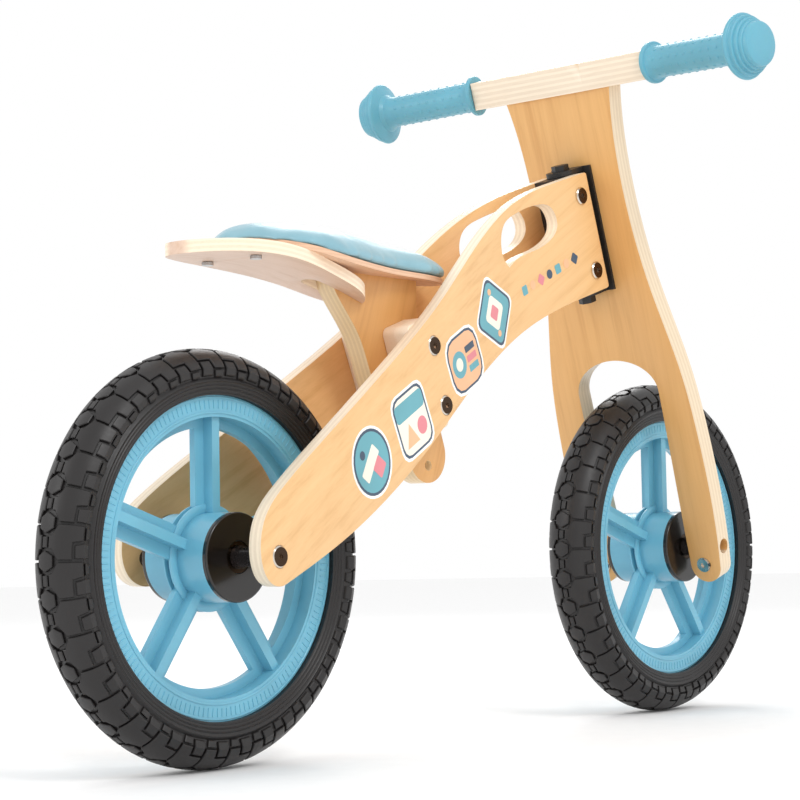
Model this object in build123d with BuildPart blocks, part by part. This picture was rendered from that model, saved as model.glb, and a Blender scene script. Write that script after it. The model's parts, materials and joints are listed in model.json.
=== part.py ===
"""A child's wooden balance bike: two bent plywood side panels, a plywood fork and
handlebar, an upholstered seat and two twelve-inch foam-tyred wheels.

Millimetres.  +X is forward, +Y is the rider's left, +Z is up.  The origin is on the
ground, half way between the two axles.
"""
import os
from math import atan2, cos, degrees, hypot, radians, sin, tan

from build123d import *

os.makedirs("parts", exist_ok=True)

# ---------------------------------------------------------------- driving dimensions
WHEELBASE = 564.0
TYRE_RADIUS = 145.0
TYRE_WIDTH = 44.0
TYRE_SHOULDER_RADIUS = 130.0
HEAD_ANGLE = 18.0               # lean of the steering axis from the vertical, degrees

FIT = 0.05                      # radial clearance of everything that turns
GAP = 0.4                       # gap between faces that pass each other

# rim and hub
RIM_SEAT_RADIUS = 112.0
RIM_SEAT_HALF = 14.0
RIM_RIDGE_RADIUS = 117.0
RIM_RIDGE_HALF = 6.0
RIM_INNER_RADIUS = 97.0
WINDOW_RADIUS = 90.0
WEB_HALF = 2.5
TYRE_LIP_HALF = 18.0
SPOKES = 5
SPOKE_WIDTH = 24.0
SPOKE_RIB = 7.0
RIB_HALF = 11.0
WINDOW_FILLET = 8.0
HUB_RADIUS = 31.0
HUB_HALF = 28.0
HUB_WALL = 3.0
BOSS_RADIUS = 15.0
CAP_THICK = 3.7
CAP_PLUG = 5.0
BUSH_RADIUS = 9.0
BUSH_FLANGE_RADIUS = 11.0
BUSH_FLANGE = 1.5
BUSH_LENGTH = 14.0
BUSH_SINK = 0.5                 # the bush flange sits this far inside the cap's face
AXLE_RADIUS = 5.0
AXLE_BORE_CLEAR = 1.0
AXLE_TAP_DEPTH = 16.0
AXLE_BOLT_REACH = 14.0
SPACER_RADIUS = 6.5
SPACER_STEP_RADIUS = 8.0
SPACER_STEP = 4.0
CAP_EDGE = 1.4
CAP_WALL = 2.0

# side panels
PANEL_THICK = 11.0
TAIL_HALF_WIDTH = 70.3          # centre plane to the outer face, at the rear axle
HEAD_HALF_WIDTH = 22.0          # centre plane to the outer face, at the head
HEAD_STRAIGHT = 190.0           # length of panel that runs parallel at the head
BEND_RADIUS = 400.0
TAIL_RADIUS = 20.0
HEAD_TOP = 344.0                # along the steering axis, above the front axle
HEAD_BOTTOM = 243.0
PANEL_FRONT = -18.0             # ahead of the steering reference line
PANEL_CORNER = 7.0
PANEL_EASE = 5.0

# steering
PIVOT_SETBACK = 26.0
STEER_LIMIT = 20.0
PLATE_THICK = 2.5
PLATE_HALF_WIDTH = 20.0
EAR_THICK = 4.0
EAR_HALF_WIDTH = 13.0
EAR_BACK = 39.0
BRACKET_SCREW_Y = 6.0
BRACKET_SCREW_INSET = 14.0
BLOCK_BACK = 52.0
PIN_RADIUS = 4.0
PIN_BUSH_RADIUS = 6.0
PIN_BUSH_LENGTH = 10.0
PIN_BORE_CLEAR = 0.5            # the block's bore stands clear of the pin between the bushes
PIN_HEX = 6.5                   # half the width across flats of the pin's head and nut
PIN_HEAD = 5.0
PIN_NUT = 6.5
PIN_TAIL = 7.0
HEAD_BOLT_SETBACK = 36.2
HEAD_BOLT_INSET = 18.0

# fork
FORK_THICK = 18.0
FORK_TOP = 411.0
FORK_TOP_HALF = 54.0
FORK_WAIST_HALF = 47.0
FORK_LEG_HALF = 72.5
FORK_LEG_INNER = 42.0
FORK_DROPOUT_INNER = 39.5
FORK_DROPOUT_OUTER = 69.0
ARCH_SPRING = 145.0
ARCH_RISE = 30.0
LEG_END = 30.0
LEG_BOLT_HALF = 53.0
LEG_BOLT_DROP = 14.0
LEG_HEAD_RADIUS = 6.5
LEG_NUT_SHORT = 4.0             # how far a leg nut stops short of the fork's rear face
AXLE_POCKET_RADIUS = 6.5
AXLE_POCKET_DEPTH = 9.0

# handlebar and grips
BAR_THICK = 24.0
BAR_SHOULDER = 89.5             # centre plane to the inner end of each grip
BAR_FORWARD = 4.6               # grip centre line ahead of the fork, at the shoulder
BAR_REAR = 12.0
BAR_FRONT = 17.0
BAR_SWEEP = 8.9
SPIGOT_RADIUS = 10.0
SPIGOT_LENGTH = 105.0
SPIGOT_ROOT = 6.0
BAR_SCREW_PITCH = 32.0
BAR_SCREW_RADIUS = 3.0
BAR_SCREW_HEAD_RADIUS = 5.2
BAR_SCREW_SINK = 3.0
BAR_SCREW_DEPTH = 36.0          # how far the bar's screws run down into the fork
GRIP_RADIUS = 13.8
GRIP_LENGTH = 99.0
GRIP_FLANGE_RADIUS = 17.5
GRIP_FLANGE = 4.5
GRIP_END_RADIUS = 27.0
GRIP_END = 18.0
GRIP_RINGS = 4
GRIP_DOME_ANGLE = 66.0          # how far round the dome the last ring sits, degrees

# seat
POST_THICK = 16.0
POST_HOLE_PITCH = 47.3
POST_HOLE_LEAN = 19.6
POST_HOLES = 3
POST_LOBE = 22.0
POST_FRONT_REACH = 21.0         # front edge of the post ahead of its top bolt hole
POST_REAR_REACH = 75.0          # rear top corner of the post behind its top bolt hole
POST_SCREW_PITCH = 34.0
POST_SCREW_SETBACK = 14.0
POST_SCREW_DEPTH = 28.0
BOARD_THICK = 9.0
BOARD_RADIUS = 455.0
BOARD_HALF_WIDTH = 40.5
BOARD_CROWN = 17.0              # crown of the seat board ahead of the rear axle
BOARD_REAR_REACH = 43.0         # crown to the board's rear edge
BOARD_FRONT_REACH = 145.0
BOARD_SCREW_FORWARD = 12.0
BOARD_SCREW_Y = 24.0
SLOT_REACH = 88.0               # crown to the closed end of the slot round the post
SLOT_LIP = 12.0
SEAT_HEIGHT = 365.0             # top of the seat board at its crown
SEAT_FRONT_DROP = 9.5
SEAT_ARC_REACH = 70.0           # how far the pad's underside follows the board, from the crown
SEAT_LEVEL_REACH = 135.0        # where the underside runs level
PAD_BASE_THICK = 4.0
PAD_BASE_INSET = 2.5
PAD_THICK = 15.0
PAD_REAR_REACH = 2.0            # rear of the pad ahead of the board's crown
PAD_LENGTH = 245.0
PAD_HALF_WIDTH = 42.0
PAD_NOSE_HALF_WIDTH = 25.0
SPACER_BLOCK_HALF = 16.5
SPACER_BLOCK_END = 20.0
SPACER_BLOCK_CORNER = 6.0

# furniture connector bolts and their sleeve nuts
BOLT_RADIUS = 3.0
SLEEVE_RADIUS = 4.0
HEAD_RADIUS = 7.5
HEAD_THICK = 2.4
HEAD_BEVEL = 0.9
SOCKET_FLATS = 4.0
SOCKET_DEPTH = 1.8
SPOT_RADIUS = 8.0
SCREW_RADIUS = 2.0
SCREW_HEAD_RADIUS = 4.2
SCREW_HEAD = 2.2
SCREW_TIP_COVER = 3.0           # wood left over the tip of a blind screw
POST_BOLT_DEPTH = 20.0          # centre plane to the tip of a seat post bolt, and of its nut
HEAD_BOLT_DEPTH = 4.0
HEAD_NUT_DEPTH = 10.0

# ------------------------------------------------------------------ derived geometry
REAR_X = -WHEELBASE / 2
FRONT_X = WHEELBASE / 2
LEAN = radians(HEAD_ANGLE)
CUT = 4 * TAIL_HALF_WIDTH       # longer than the bike is wide: the reach of through cuts


def head(s, f):
    """A side-view point (x, z): s along the steering axis from the front axle, f ahead of it."""
    return (FRONT_X - s * sin(LEAN) + f * cos(LEAN), TYRE_RADIUS + s * cos(LEAN) + f * sin(LEAN))


def head_plane(s):
    """The plane square to the steering axis at height s; its local x points forward."""
    x, z = head(s, 0)
    return Plane((x, 0, z), x_dir=(cos(LEAN), 0, sin(LEAN)), z_dir=(-sin(LEAN), 0, cos(LEAN)))


def fork_plane(f):
    """The plane of the fork's faces at offset f; its local x is +Y and local y runs up the axis."""
    x, z = head(0, f)
    return Plane((x, 0, z), x_dir=(0, 1, 0), z_dir=(cos(LEAN), 0, sin(LEAN)))


CHORD_END = head((HEAD_TOP + HEAD_BOTTOM) / 2, PANEL_FRONT)
CHORD_RUN = CHORD_END[0] - REAR_X
CHORD_RISE = CHORD_END[1] - TYRE_RADIUS
CHORD = hypot(CHORD_RUN, CHORD_RISE)
CHORD_ANGLE = atan2(CHORD_RISE, CHORD_RUN)


def chord(along, up):
    """A side-view point: a fraction along the line from rear axle to head, and mm above it."""
    run = along * CHORD
    return (REAR_X + run * cos(CHORD_ANGLE) - up * sin(CHORD_ANGLE),
            TYRE_RADIUS + run * sin(CHORD_ANGLE) + up * cos(CHORD_ANGLE))


def chord_direction(angle):
    """The side-view direction at an angle, in degrees, from the line of the chord."""
    turned = CHORD_ANGLE + radians(angle)
    return (cos(turned), sin(turned))


HEAD_START_X = head(HEAD_TOP, PANEL_FRONT)[0] - HEAD_STRAIGHT / 2
PANEL_SLOPE = (TAIL_HALF_WIDTH - HEAD_HALF_WIDTH) / (HEAD_START_X - REAR_X)
SPLAY = atan2(TAIL_HALF_WIDTH - HEAD_HALF_WIDTH, HEAD_START_X - REAR_X)
HEAD_INNER = HEAD_HALF_WIDTH - PANEL_THICK


def outer_half_width(x):
    """Centre plane to the outer face of a side panel's splayed part at x."""
    return TAIL_HALF_WIDTH - PANEL_SLOPE * (x - REAR_X)


def inner_half_width(x):
    """Centre plane to the inner face of a side panel's splayed part at x."""
    return outer_half_width(x) - PANEL_THICK / cos(SPLAY)


POST_TOP_HOLE = chord(0.479, 29.5)
POST_HOLE_POINTS = [
    (POST_TOP_HOLE[0] + i * POST_HOLE_PITCH * sin(radians(POST_HOLE_LEAN)),
     POST_TOP_HOLE[1] - i * POST_HOLE_PITCH * cos(radians(POST_HOLE_LEAN)))
    for i in range(POST_HOLES)
]
POST_BOLT_POINTS = POST_HOLE_POINTS[:2]
HEAD_BOLT_POINTS = [
    head(HEAD_TOP - HEAD_BOLT_INSET, -HEAD_BOLT_SETBACK),
    head(HEAD_BOTTOM + HEAD_BOLT_INSET, -HEAD_BOLT_SETBACK),
]
LEG_BOLT_SPOTS = [(side * LEG_BOLT_HALF, -LEG_BOLT_DROP) for side in (1, -1)]
FORK_BACK = -FORK_THICK / 2
PLATE_BACK = FORK_BACK - PLATE_THICK
EAR_BOTTOM = HEAD_BOTTOM - GAP - EAR_THICK
EAR_TOP = HEAD_TOP + GAP + EAR_THICK
CAP_FACE = HUB_HALF + CAP_THICK
BUSH_FACE = CAP_FACE - BUSH_SINK
BOARD_CROWN_X = REAR_X + BOARD_CROWN
BOARD_REAR_X = BOARD_CROWN_X - BOARD_REAR_REACH
BOARD_FRONT_X = BOARD_CROWN_X + BOARD_FRONT_REACH
BOARD_CENTRE_Z = SEAT_HEIGHT - BOARD_THICK - BOARD_RADIUS
SLOT_REAR_X = BOARD_CROWN_X + SLOT_REACH
SEAT_FRONT_Z = SEAT_HEIGHT - SEAT_FRONT_DROP
SEAT_LEVEL_X = BOARD_CROWN_X + SEAT_LEVEL_REACH
PAD_REAR_X = BOARD_CROWN_X + PAD_REAR_REACH
PAD_NOSE_X = PAD_REAR_X + PAD_LENGTH
POST_FRONT_X = POST_TOP_HOLE[0] + POST_FRONT_REACH
BOARD_SCREWS = [(BOARD_CROWN_X + BOARD_SCREW_FORWARD, side * BOARD_SCREW_Y) for side in (1, -1)]
POST_SCREWS = [(POST_FRONT_X - POST_SCREW_SETBACK - i * POST_SCREW_PITCH, 0) for i in (1, 0)]
BRACKET_SCREW_SPOTS = [(side * BRACKET_SCREW_Y, s) for side in (1, -1)
                       for s in (HEAD_BOTTOM + BRACKET_SCREW_INSET, HEAD_TOP - BRACKET_SCREW_INSET)]
BAR_SCREW_Y = (-BAR_SCREW_PITCH, 0.0, BAR_SCREW_PITCH)


def finish(builder, label):
    """Labels a finished sub-part and writes its STEP file."""
    builder.part.label = label
    export_step(builder.part, f"parts/{label}.step")


def side_plane(y):
    """The plane of side views at y: local x is +X, local y is +Z, extrusions go towards -Y."""
    return Plane((0, y, 0), x_dir=(1, 0, 0), z_dir=(0, -1, 0))


# ------------------------------------------------------------------------ side panels
def panel_plan(side):
    """The plan of one bent panel: a strip that closes in from the tail, then runs straight."""
    miter = PANEL_THICK * tan(SPLAY / 2)
    tail_x = REAR_X - 2 * TAIL_RADIUS
    head_x = head(HEAD_BOTTOM, 0)[0]
    inner_bend = (HEAD_START_X - miter, side * HEAD_INNER)
    with BuildSketch(Plane.XY) as plan:
        with BuildLine():
            FilletPolyline((tail_x, side * outer_half_width(tail_x)),
                           (HEAD_START_X, side * HEAD_HALF_WIDTH),
                           (head_x, side * HEAD_HALF_WIDTH), radius=BEND_RADIUS)
            FilletPolyline((tail_x, side * inner_half_width(tail_x)), inner_bend,
                           (head_x, side * HEAD_INNER), radius=BEND_RADIUS + PANEL_THICK)
            Line((tail_x, side * outer_half_width(tail_x)), (tail_x, side * inner_half_width(tail_x)))
            Line((head_x, side * HEAD_HALF_WIDTH), (head_x, side * HEAD_INNER))
        make_face()
    return plan.sketch


def panel_outline():
    """The side view of a panel: round tail on the axle, arched back, square head."""
    tail_low = chord_direction(-100)
    low_point = (REAR_X + TAIL_RADIUS * tail_low[0], TYRE_RADIUS + TAIL_RADIUS * tail_low[1])
    rear_point = chord(-TAIL_RADIUS / CHORD, 0)
    mid_angle = chord_direction(-140)
    mid_point = (REAR_X + TAIL_RADIUS * mid_angle[0], TYRE_RADIUS + TAIL_RADIUS * mid_angle[1])
    forward = (cos(LEAN), sin(LEAN))
    top_start = head(HEAD_TOP, -74)
    bottom_start = head(HEAD_BOTTOM, -76)
    back = [rear_point, chord(-0.008, 28), chord(0.053, 37.5), chord(0.187, 41.6), chord(0.369, 46),
            chord(0.534, 54), chord(0.677, 67.5), chord(0.794, 71.4), top_start]
    belly = [bottom_start, chord(0.644, -22.3), chord(0.499, -26.3), chord(0.39, -32.5),
             chord(0.273, -35), chord(0.152, -32), low_point]
    with BuildSketch(Plane.XY) as outline:
        with BuildLine():
            ThreePointArc(low_point, mid_point, rear_point)
            Spline(*back, tangents=(chord_direction(90), forward), tangent_scalars=(1, 1))
            FilletPolyline(top_start, head(HEAD_TOP, PANEL_FRONT), head(HEAD_BOTTOM, PANEL_FRONT),
                           bottom_start, radius=PANEL_CORNER)
            Spline(*belly, tangents=((-forward[0], -forward[1]), chord_direction(170)),
                   tangent_scalars=(1, 1))
        make_face()
    return outline.sketch


def handle_outline():
    """The carrying-handle hole: round at the front, drawn to a point at its lower rear."""
    corner = chord(0.741, 29.5)
    ring = [corner, chord(0.80, 27.4), chord(0.858, 22.6), chord(0.898, 30), chord(0.898, 44),
            chord(0.868, 55), chord(0.80, 62.8), chord(0.756, 61.5), chord(0.734, 48), corner]
    with BuildSketch(Plane.XY) as outline:
        with BuildLine():
            Spline(*ring)
        make_face()
    return outline.sketch


def spot_face(face_y, side, x, z):
    """A short cylinder outward from face_y: cut away, it leaves a flat seat for a bolt head."""
    with BuildPart() as seat:
        with BuildSketch(Plane((x, face_y, z), x_dir=(1, 0, 0), z_dir=(0, side, 0))):
            Circle(SPOT_RADIUS)
        extrude(amount=2 * SPOT_RADIUS)
    return seat.part


def seat_face(x):
    """How far out a bolt head seats on the splayed outer face at x."""
    return outer_half_width(x) - PANEL_SLOPE * (SPOT_RADIUS + 1)


def side_panel(side, label):
    """One plywood side panel; side is +1 for the rider's left."""
    with BuildPart() as panel:
        add(panel_plan(side))
        extrude(amount=head(HEAD_TOP, 0)[1] + 2 * TAIL_RADIUS)
        with BuildSketch(side_plane(0)):
            add(panel_outline())
        extrude(amount=2 * TAIL_HALF_WIDTH, both=True, mode=Mode.INTERSECT)
        with BuildSketch(head_plane(HEAD_BOTTOM)):
            with Locations((PANEL_FRONT - PANEL_EASE / 2, side * (HEAD_HALF_WIDTH - PANEL_EASE / 2))):
                Rectangle(PANEL_EASE, PANEL_EASE)
            with Locations((PANEL_FRONT - PANEL_EASE, side * (HEAD_HALF_WIDTH - PANEL_EASE))):
                Circle(PANEL_EASE, mode=Mode.SUBTRACT)
        extrude(amount=HEAD_TOP - HEAD_BOTTOM, mode=Mode.SUBTRACT)
        with BuildSketch(side_plane(0)):
            add(handle_outline())
        extrude(amount=2 * TAIL_HALF_WIDTH, both=True, mode=Mode.SUBTRACT)
        with BuildSketch(side_plane(0)):
            with Locations((REAR_X, TYRE_RADIUS)):
                Circle(AXLE_RADIUS)
            with Locations(*POST_BOLT_POINTS, *HEAD_BOLT_POINTS):
                Circle(SLEEVE_RADIUS)
        extrude(amount=2 * TAIL_HALF_WIDTH, both=True, mode=Mode.SUBTRACT)
        for x, z in [(REAR_X, TYRE_RADIUS), *POST_BOLT_POINTS]:
            add(spot_face(side * seat_face(x), side, x, z), mode=Mode.SUBTRACT)
    finish(panel, label)


def panel_cutter(side):
    """A solid that fills everything outside a panel's inner face, to trim what meets it."""
    tail_x = REAR_X - 2 * TAIL_RADIUS
    with BuildPart(mode=Mode.PRIVATE) as cutter:
        with BuildSketch(Plane.XY):
            with BuildLine():
                Polyline((tail_x, side * inner_half_width(tail_x)),
                         (HEAD_START_X - BEND_RADIUS * tan(SPLAY), side * inner_half_width(
                             HEAD_START_X - BEND_RADIUS * tan(SPLAY))),
                         (HEAD_START_X - BEND_RADIUS * tan(SPLAY), side * 2 * TAIL_HALF_WIDTH),
                         (tail_x, side * 2 * TAIL_HALF_WIDTH), close=True)
            make_face()
        extrude(amount=head(HEAD_TOP, 0)[1] + 2 * TAIL_RADIUS)
    return cutter.part


# ------------------------------------------------------------------------- fasteners
def connector_bolt(x, z, face_y, tip_y, side, shank_radius, head_radius=HEAD_RADIUS):
    """A connector bolt along Y: bevelled flat head on face_y, shank in to tip_y."""
    out = Plane((x, face_y, z), x_dir=(1, 0, 0), z_dir=(0, side, 0))
    with BuildPart() as bolt:
        with BuildSketch(out):
            Circle(head_radius)
        extrude(amount=HEAD_THICK - HEAD_BEVEL)
        with BuildSketch(out.offset(HEAD_THICK - HEAD_BEVEL)):
            Circle(head_radius)
        extrude(amount=HEAD_BEVEL, taper=45)
        with BuildSketch(out):
            Circle(shank_radius)
        extrude(amount=-abs(face_y - tip_y))
        with BuildSketch(out.offset(HEAD_THICK)):
            RegularPolygon(SOCKET_FLATS / 2, 6, major_radius=False)
        extrude(amount=-SOCKET_DEPTH, mode=Mode.SUBTRACT)
    return bolt.part


def bolt_group(label, points, faces, side, tip):
    """A node of connector bolts driven from one side; tip is where their shanks end."""
    with BuildPart() as bolts:
        for (x, z), face in zip(points, faces):
            add(connector_bolt(x, z, side * face, side * tip, side, BOLT_RADIUS))
    finish(bolts, label)


def sleeve_nut_group(label, points, faces, side, tip):
    """A node of sleeve nuts: the same heads, with a sleeve that takes the bolt's thread."""
    with BuildPart() as nuts:
        for (x, z), face in zip(points, faces):
            add(connector_bolt(x, z, side * face, side * tip, side, SLEEVE_RADIUS))
            with BuildSketch(Plane((x, side * tip, z), x_dir=(1, 0, 0), z_dir=(0, side, 0))):
                Circle(BOLT_RADIUS)
            extrude(amount=abs(face - tip) - SOCKET_DEPTH, mode=Mode.SUBTRACT)
    finish(nuts, label)


# ------------------------------------------------------------------------------ seat
SEAT_PLAN_PLANE = Plane.XY.offset(SEAT_HEIGHT / 2)


def board_top(x):
    """Height of the seat board's upper face at x."""
    return BOARD_CENTRE_Z + ((BOARD_RADIUS + BOARD_THICK) ** 2 - (x - BOARD_CROWN_X) ** 2) ** 0.5


def seat_curve(lift):
    """Adds the pad's underside line to a side view, lifted by a few mm."""
    start = PAD_REAR_X - PAD_THICK
    leave = BOARD_CROWN_X + SEAT_ARC_REACH
    middle = (start + leave) / 2
    ThreePointArc((start, board_top(start) + lift), (middle, board_top(middle) + lift),
                  (leave, board_top(leave) + lift))
    drop = SEAT_ARC_REACH / (BOARD_RADIUS + BOARD_THICK)
    Spline((leave, board_top(leave) + lift), (SEAT_LEVEL_X, SEAT_FRONT_Z + lift),
           tangents=((1, -drop), (1, 0)), tangent_scalars=(1, 1))
    Line((SEAT_LEVEL_X, SEAT_FRONT_Z + lift), (PAD_NOSE_X + PAD_THICK, SEAT_FRONT_Z + lift))


def seat_plan(inset):
    """The saddle outline seen from above: wide and round behind, a narrow round nose."""
    rear = PAD_REAR_X + inset
    nose = PAD_NOSE_X - inset
    wide = PAD_HALF_WIDTH - inset
    slim = PAD_NOSE_HALF_WIDTH - inset
    hips = PAD_REAR_X + 52
    neck = PAD_NOSE_X - 75
    tip = nose - 18
    with BuildSketch(Plane.XY) as plan:
        with BuildLine():
            Spline((rear, 0), (hips, wide), (neck, slim), (tip, 0.66 * slim), (nose, 0),
                   tangents=((0, 1), (0, -1)), tangent_scalars=(1, 1))
            Spline((rear, 0), (hips, -wide), (neck, -slim), (tip, -0.66 * slim), (nose, 0),
                   tangents=((0, -1), (0, 1)), tangent_scalars=(1, 1))
        make_face()
    return plan.sketch


def seat_board():
    """The arched plywood board under the pad, forked around the seat post."""
    with BuildPart() as board:
        with BuildSketch(side_plane(CUT / 2)):
            with Locations((BOARD_CROWN_X, BOARD_CENTRE_Z)):
                Circle(BOARD_RADIUS + BOARD_THICK)
                Circle(BOARD_RADIUS, mode=Mode.SUBTRACT)
        extrude(amount=CUT)
        with BuildSketch(SEAT_PLAN_PLANE):
            with BuildLine():
                for side in (1, -1):
                    Spline((BOARD_REAR_X, 0), (BOARD_CROWN_X - 2, side * 0.91 * BOARD_HALF_WIDTH),
                           (BOARD_CROWN_X + 34, side * BOARD_HALF_WIDTH),
                           (BOARD_CROWN_X + 94, side * 0.74 * BOARD_HALF_WIDTH),
                           (BOARD_FRONT_X - 6, side * 0.35 * BOARD_HALF_WIDTH), (BOARD_FRONT_X, 0),
                           tangents=((0, side), (0, -side)), tangent_scalars=(1, 1))
            make_face()
        extrude(amount=CUT, mode=Mode.INTERSECT)
        slot_half = POST_THICK / 2 + FIT
        with BuildSketch(SEAT_PLAN_PLANE):
            with Locations((SLOT_REAR_X + slot_half, 0)):
                Circle(slot_half)
            with Locations((SLOT_REAR_X + slot_half + BOARD_FRONT_REACH / 2, 0)):
                Rectangle(BOARD_FRONT_REACH, 2 * slot_half)
            with Locations(*BOARD_SCREWS):
                Circle(SCREW_RADIUS)
        extrude(amount=CUT, mode=Mode.SUBTRACT)
    finish(board, "seat_board")


def seat_pad_base():
    """The thin plywood tray that the pad is upholstered on."""
    with BuildPart() as base:
        with BuildSketch(side_plane(2 * PAD_HALF_WIDTH)):
            with BuildLine():
                seat_curve(0)
                seat_curve(PAD_BASE_THICK)
                rear = PAD_REAR_X - PAD_THICK
                for x, z in ((rear, board_top(rear)), (PAD_NOSE_X + PAD_THICK, SEAT_FRONT_Z)):
                    Line((x, z), (x, z + PAD_BASE_THICK))
            make_face()
        extrude(amount=4 * PAD_HALF_WIDTH)
        with BuildSketch(SEAT_PLAN_PLANE):
            add(seat_plan(PAD_BASE_INSET))
        extrude(amount=CUT, mode=Mode.INTERSECT)
        with BuildSketch(SEAT_PLAN_PLANE):
            with Locations(*BOARD_SCREWS, *POST_SCREWS):
                Circle(SCREW_RADIUS)
        extrude(amount=CUT, mode=Mode.SUBTRACT)
    finish(base, "seat_pad_base")


def seat_pad():
    """The upholstered pad as one closed solid of its outer shape."""
    top = SEAT_HEIGHT + PAD_THICK
    with BuildPart() as pad:
        with BuildSketch(side_plane(2 * PAD_HALF_WIDTH)):
            with BuildLine():
                seat_curve(PAD_BASE_THICK)
                rear = PAD_REAR_X - PAD_THICK
                nose = PAD_NOSE_X + PAD_THICK
                Polyline((rear, board_top(rear) + PAD_BASE_THICK), (rear, top),
                         (nose, top - SEAT_FRONT_DROP / 2), (nose, SEAT_FRONT_Z + PAD_BASE_THICK))
            make_face()
        extrude(amount=4 * PAD_HALF_WIDTH)
        with BuildSketch(SEAT_PLAN_PLANE):
            add(seat_plan(0))
        extrude(amount=CUT, mode=Mode.INTERSECT)
        chamfer(pad.faces().sort_by(Axis.Z)[-1].edges(), PAD_THICK / 3)
    finish(pad, "seat_pad")


def seat_post():
    """The upright plywood plate that carries the seat, with a row of height holes."""
    low = POST_HOLE_POINTS[-1]
    lean = radians(POST_HOLE_LEAN)
    lobe = (low[0] - 2 * sin(lean), low[1] + 9 * cos(lean))
    rear_low = (lobe[0] - POST_LOBE * cos(lean), lobe[1] - POST_LOBE * sin(lean))
    front_low = (lobe[0] + POST_LOBE * cos(lean), lobe[1] + POST_LOBE * sin(lean))
    bottom = (lobe[0] + POST_LOBE * sin(lean), lobe[1] - POST_LOBE * cos(lean))
    top_hole = POST_HOLE_POINTS[0]
    rear_x = top_hole[0] - POST_REAR_REACH
    rear_top = (rear_x, board_top(rear_x) - BOARD_THICK - FIT)
    crest_x = SEAT_LEVEL_X - POST_LOBE
    slot_x = SLOT_REAR_X + POST_THICK / 2 + SLOT_LIP
    with BuildPart() as post:
        with BuildSketch(side_plane(POST_THICK / 2)):
            with BuildLine():
                ThreePointArc(rear_low, bottom, front_low)
                Spline(front_low, (top_hole[0] + 27, top_hole[1]), (POST_FRONT_X, SEAT_FRONT_Z - 30),
                       (POST_FRONT_X, SEAT_FRONT_Z), tangents=((-sin(lean), cos(lean)), (0, 1)),
                       tangent_scalars=(1, 1))
                Polyline((POST_FRONT_X, SEAT_FRONT_Z), (SEAT_LEVEL_X, SEAT_FRONT_Z),
                         (crest_x, board_top(crest_x)), (slot_x, board_top(slot_x)), rear_top)
                Spline(rear_top, (top_hole[0] - 47, top_hole[1] + 6), (top_hole[0] - 29, top_hole[1] - 33),
                       rear_low, tangents=((1, -1.5), (sin(lean), -cos(lean))), tangent_scalars=(1, 1))
            make_face()
        extrude(amount=POST_THICK)
        with BuildSketch(side_plane(POST_THICK / 2)):
            with Locations(*POST_HOLE_POINTS):
                Circle(SLEEVE_RADIUS)
        extrude(amount=POST_THICK, mode=Mode.SUBTRACT)
        with BuildSketch(Plane.XY.offset(SEAT_FRONT_Z)):
            with Locations(*POST_SCREWS):
                Circle(SCREW_RADIUS)
        extrude(amount=-POST_SCREW_DEPTH, mode=Mode.SUBTRACT)
    finish(post, "seat_post")


def post_spacer(side, label):
    """A wedge of solid wood that fills between the seat post and one splayed panel."""
    upper, lower = POST_BOLT_POINTS
    centre = ((upper[0] + lower[0]) / 2, (upper[1] + lower[1]) / 2)
    with BuildPart() as spacer:
        with BuildSketch(side_plane(0)):
            with Locations(Location((centre[0], centre[1], 0), (0, 0, POST_HOLE_LEAN))):
                RectangleRounded(2 * SPACER_BLOCK_HALF, POST_HOLE_PITCH + 2 * SPACER_BLOCK_END,
                                 SPACER_BLOCK_CORNER)
            with Locations(*POST_BOLT_POINTS):
                Circle(SLEEVE_RADIUS, mode=Mode.SUBTRACT)
        extrude(amount=-side * TAIL_HALF_WIDTH)
        with BuildSketch(side_plane(0)):
            with Locations(centre):
                Circle(4 * SPACER_BLOCK_HALF)
        extrude(amount=-side * POST_THICK / 2, mode=Mode.SUBTRACT)
        add(panel_cutter(side), mode=Mode.SUBTRACT)
    finish(spacer, label)


def seat_screws():
    """Two screws up through the board into the tray, two down through the tray into the post."""
    with BuildPart() as screws:
        for x, y in BOARD_SCREWS:
            under = board_top(x) - BOARD_THICK
            with BuildSketch(Plane.XY.offset(under - SCREW_HEAD - GAP)):
                with Locations((x, y)):
                    Circle(SCREW_HEAD_RADIUS)
            extrude(amount=SCREW_HEAD)
            with BuildSketch(Plane.XY.offset(under - SCREW_HEAD)):
                with Locations((x, y)):
                    Circle(SCREW_RADIUS)
            extrude(amount=SCREW_HEAD + BOARD_THICK + PAD_BASE_THICK / 2)
        for x, y in POST_SCREWS:
            with BuildSketch(Plane.XY.offset(SEAT_FRONT_Z - POST_SCREW_DEPTH)):
                with Locations((x, y)):
                    Circle(SCREW_RADIUS)
            extrude(amount=POST_SCREW_DEPTH + PAD_BASE_THICK - GAP)
    finish(screws, "seat_screws")


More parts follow.
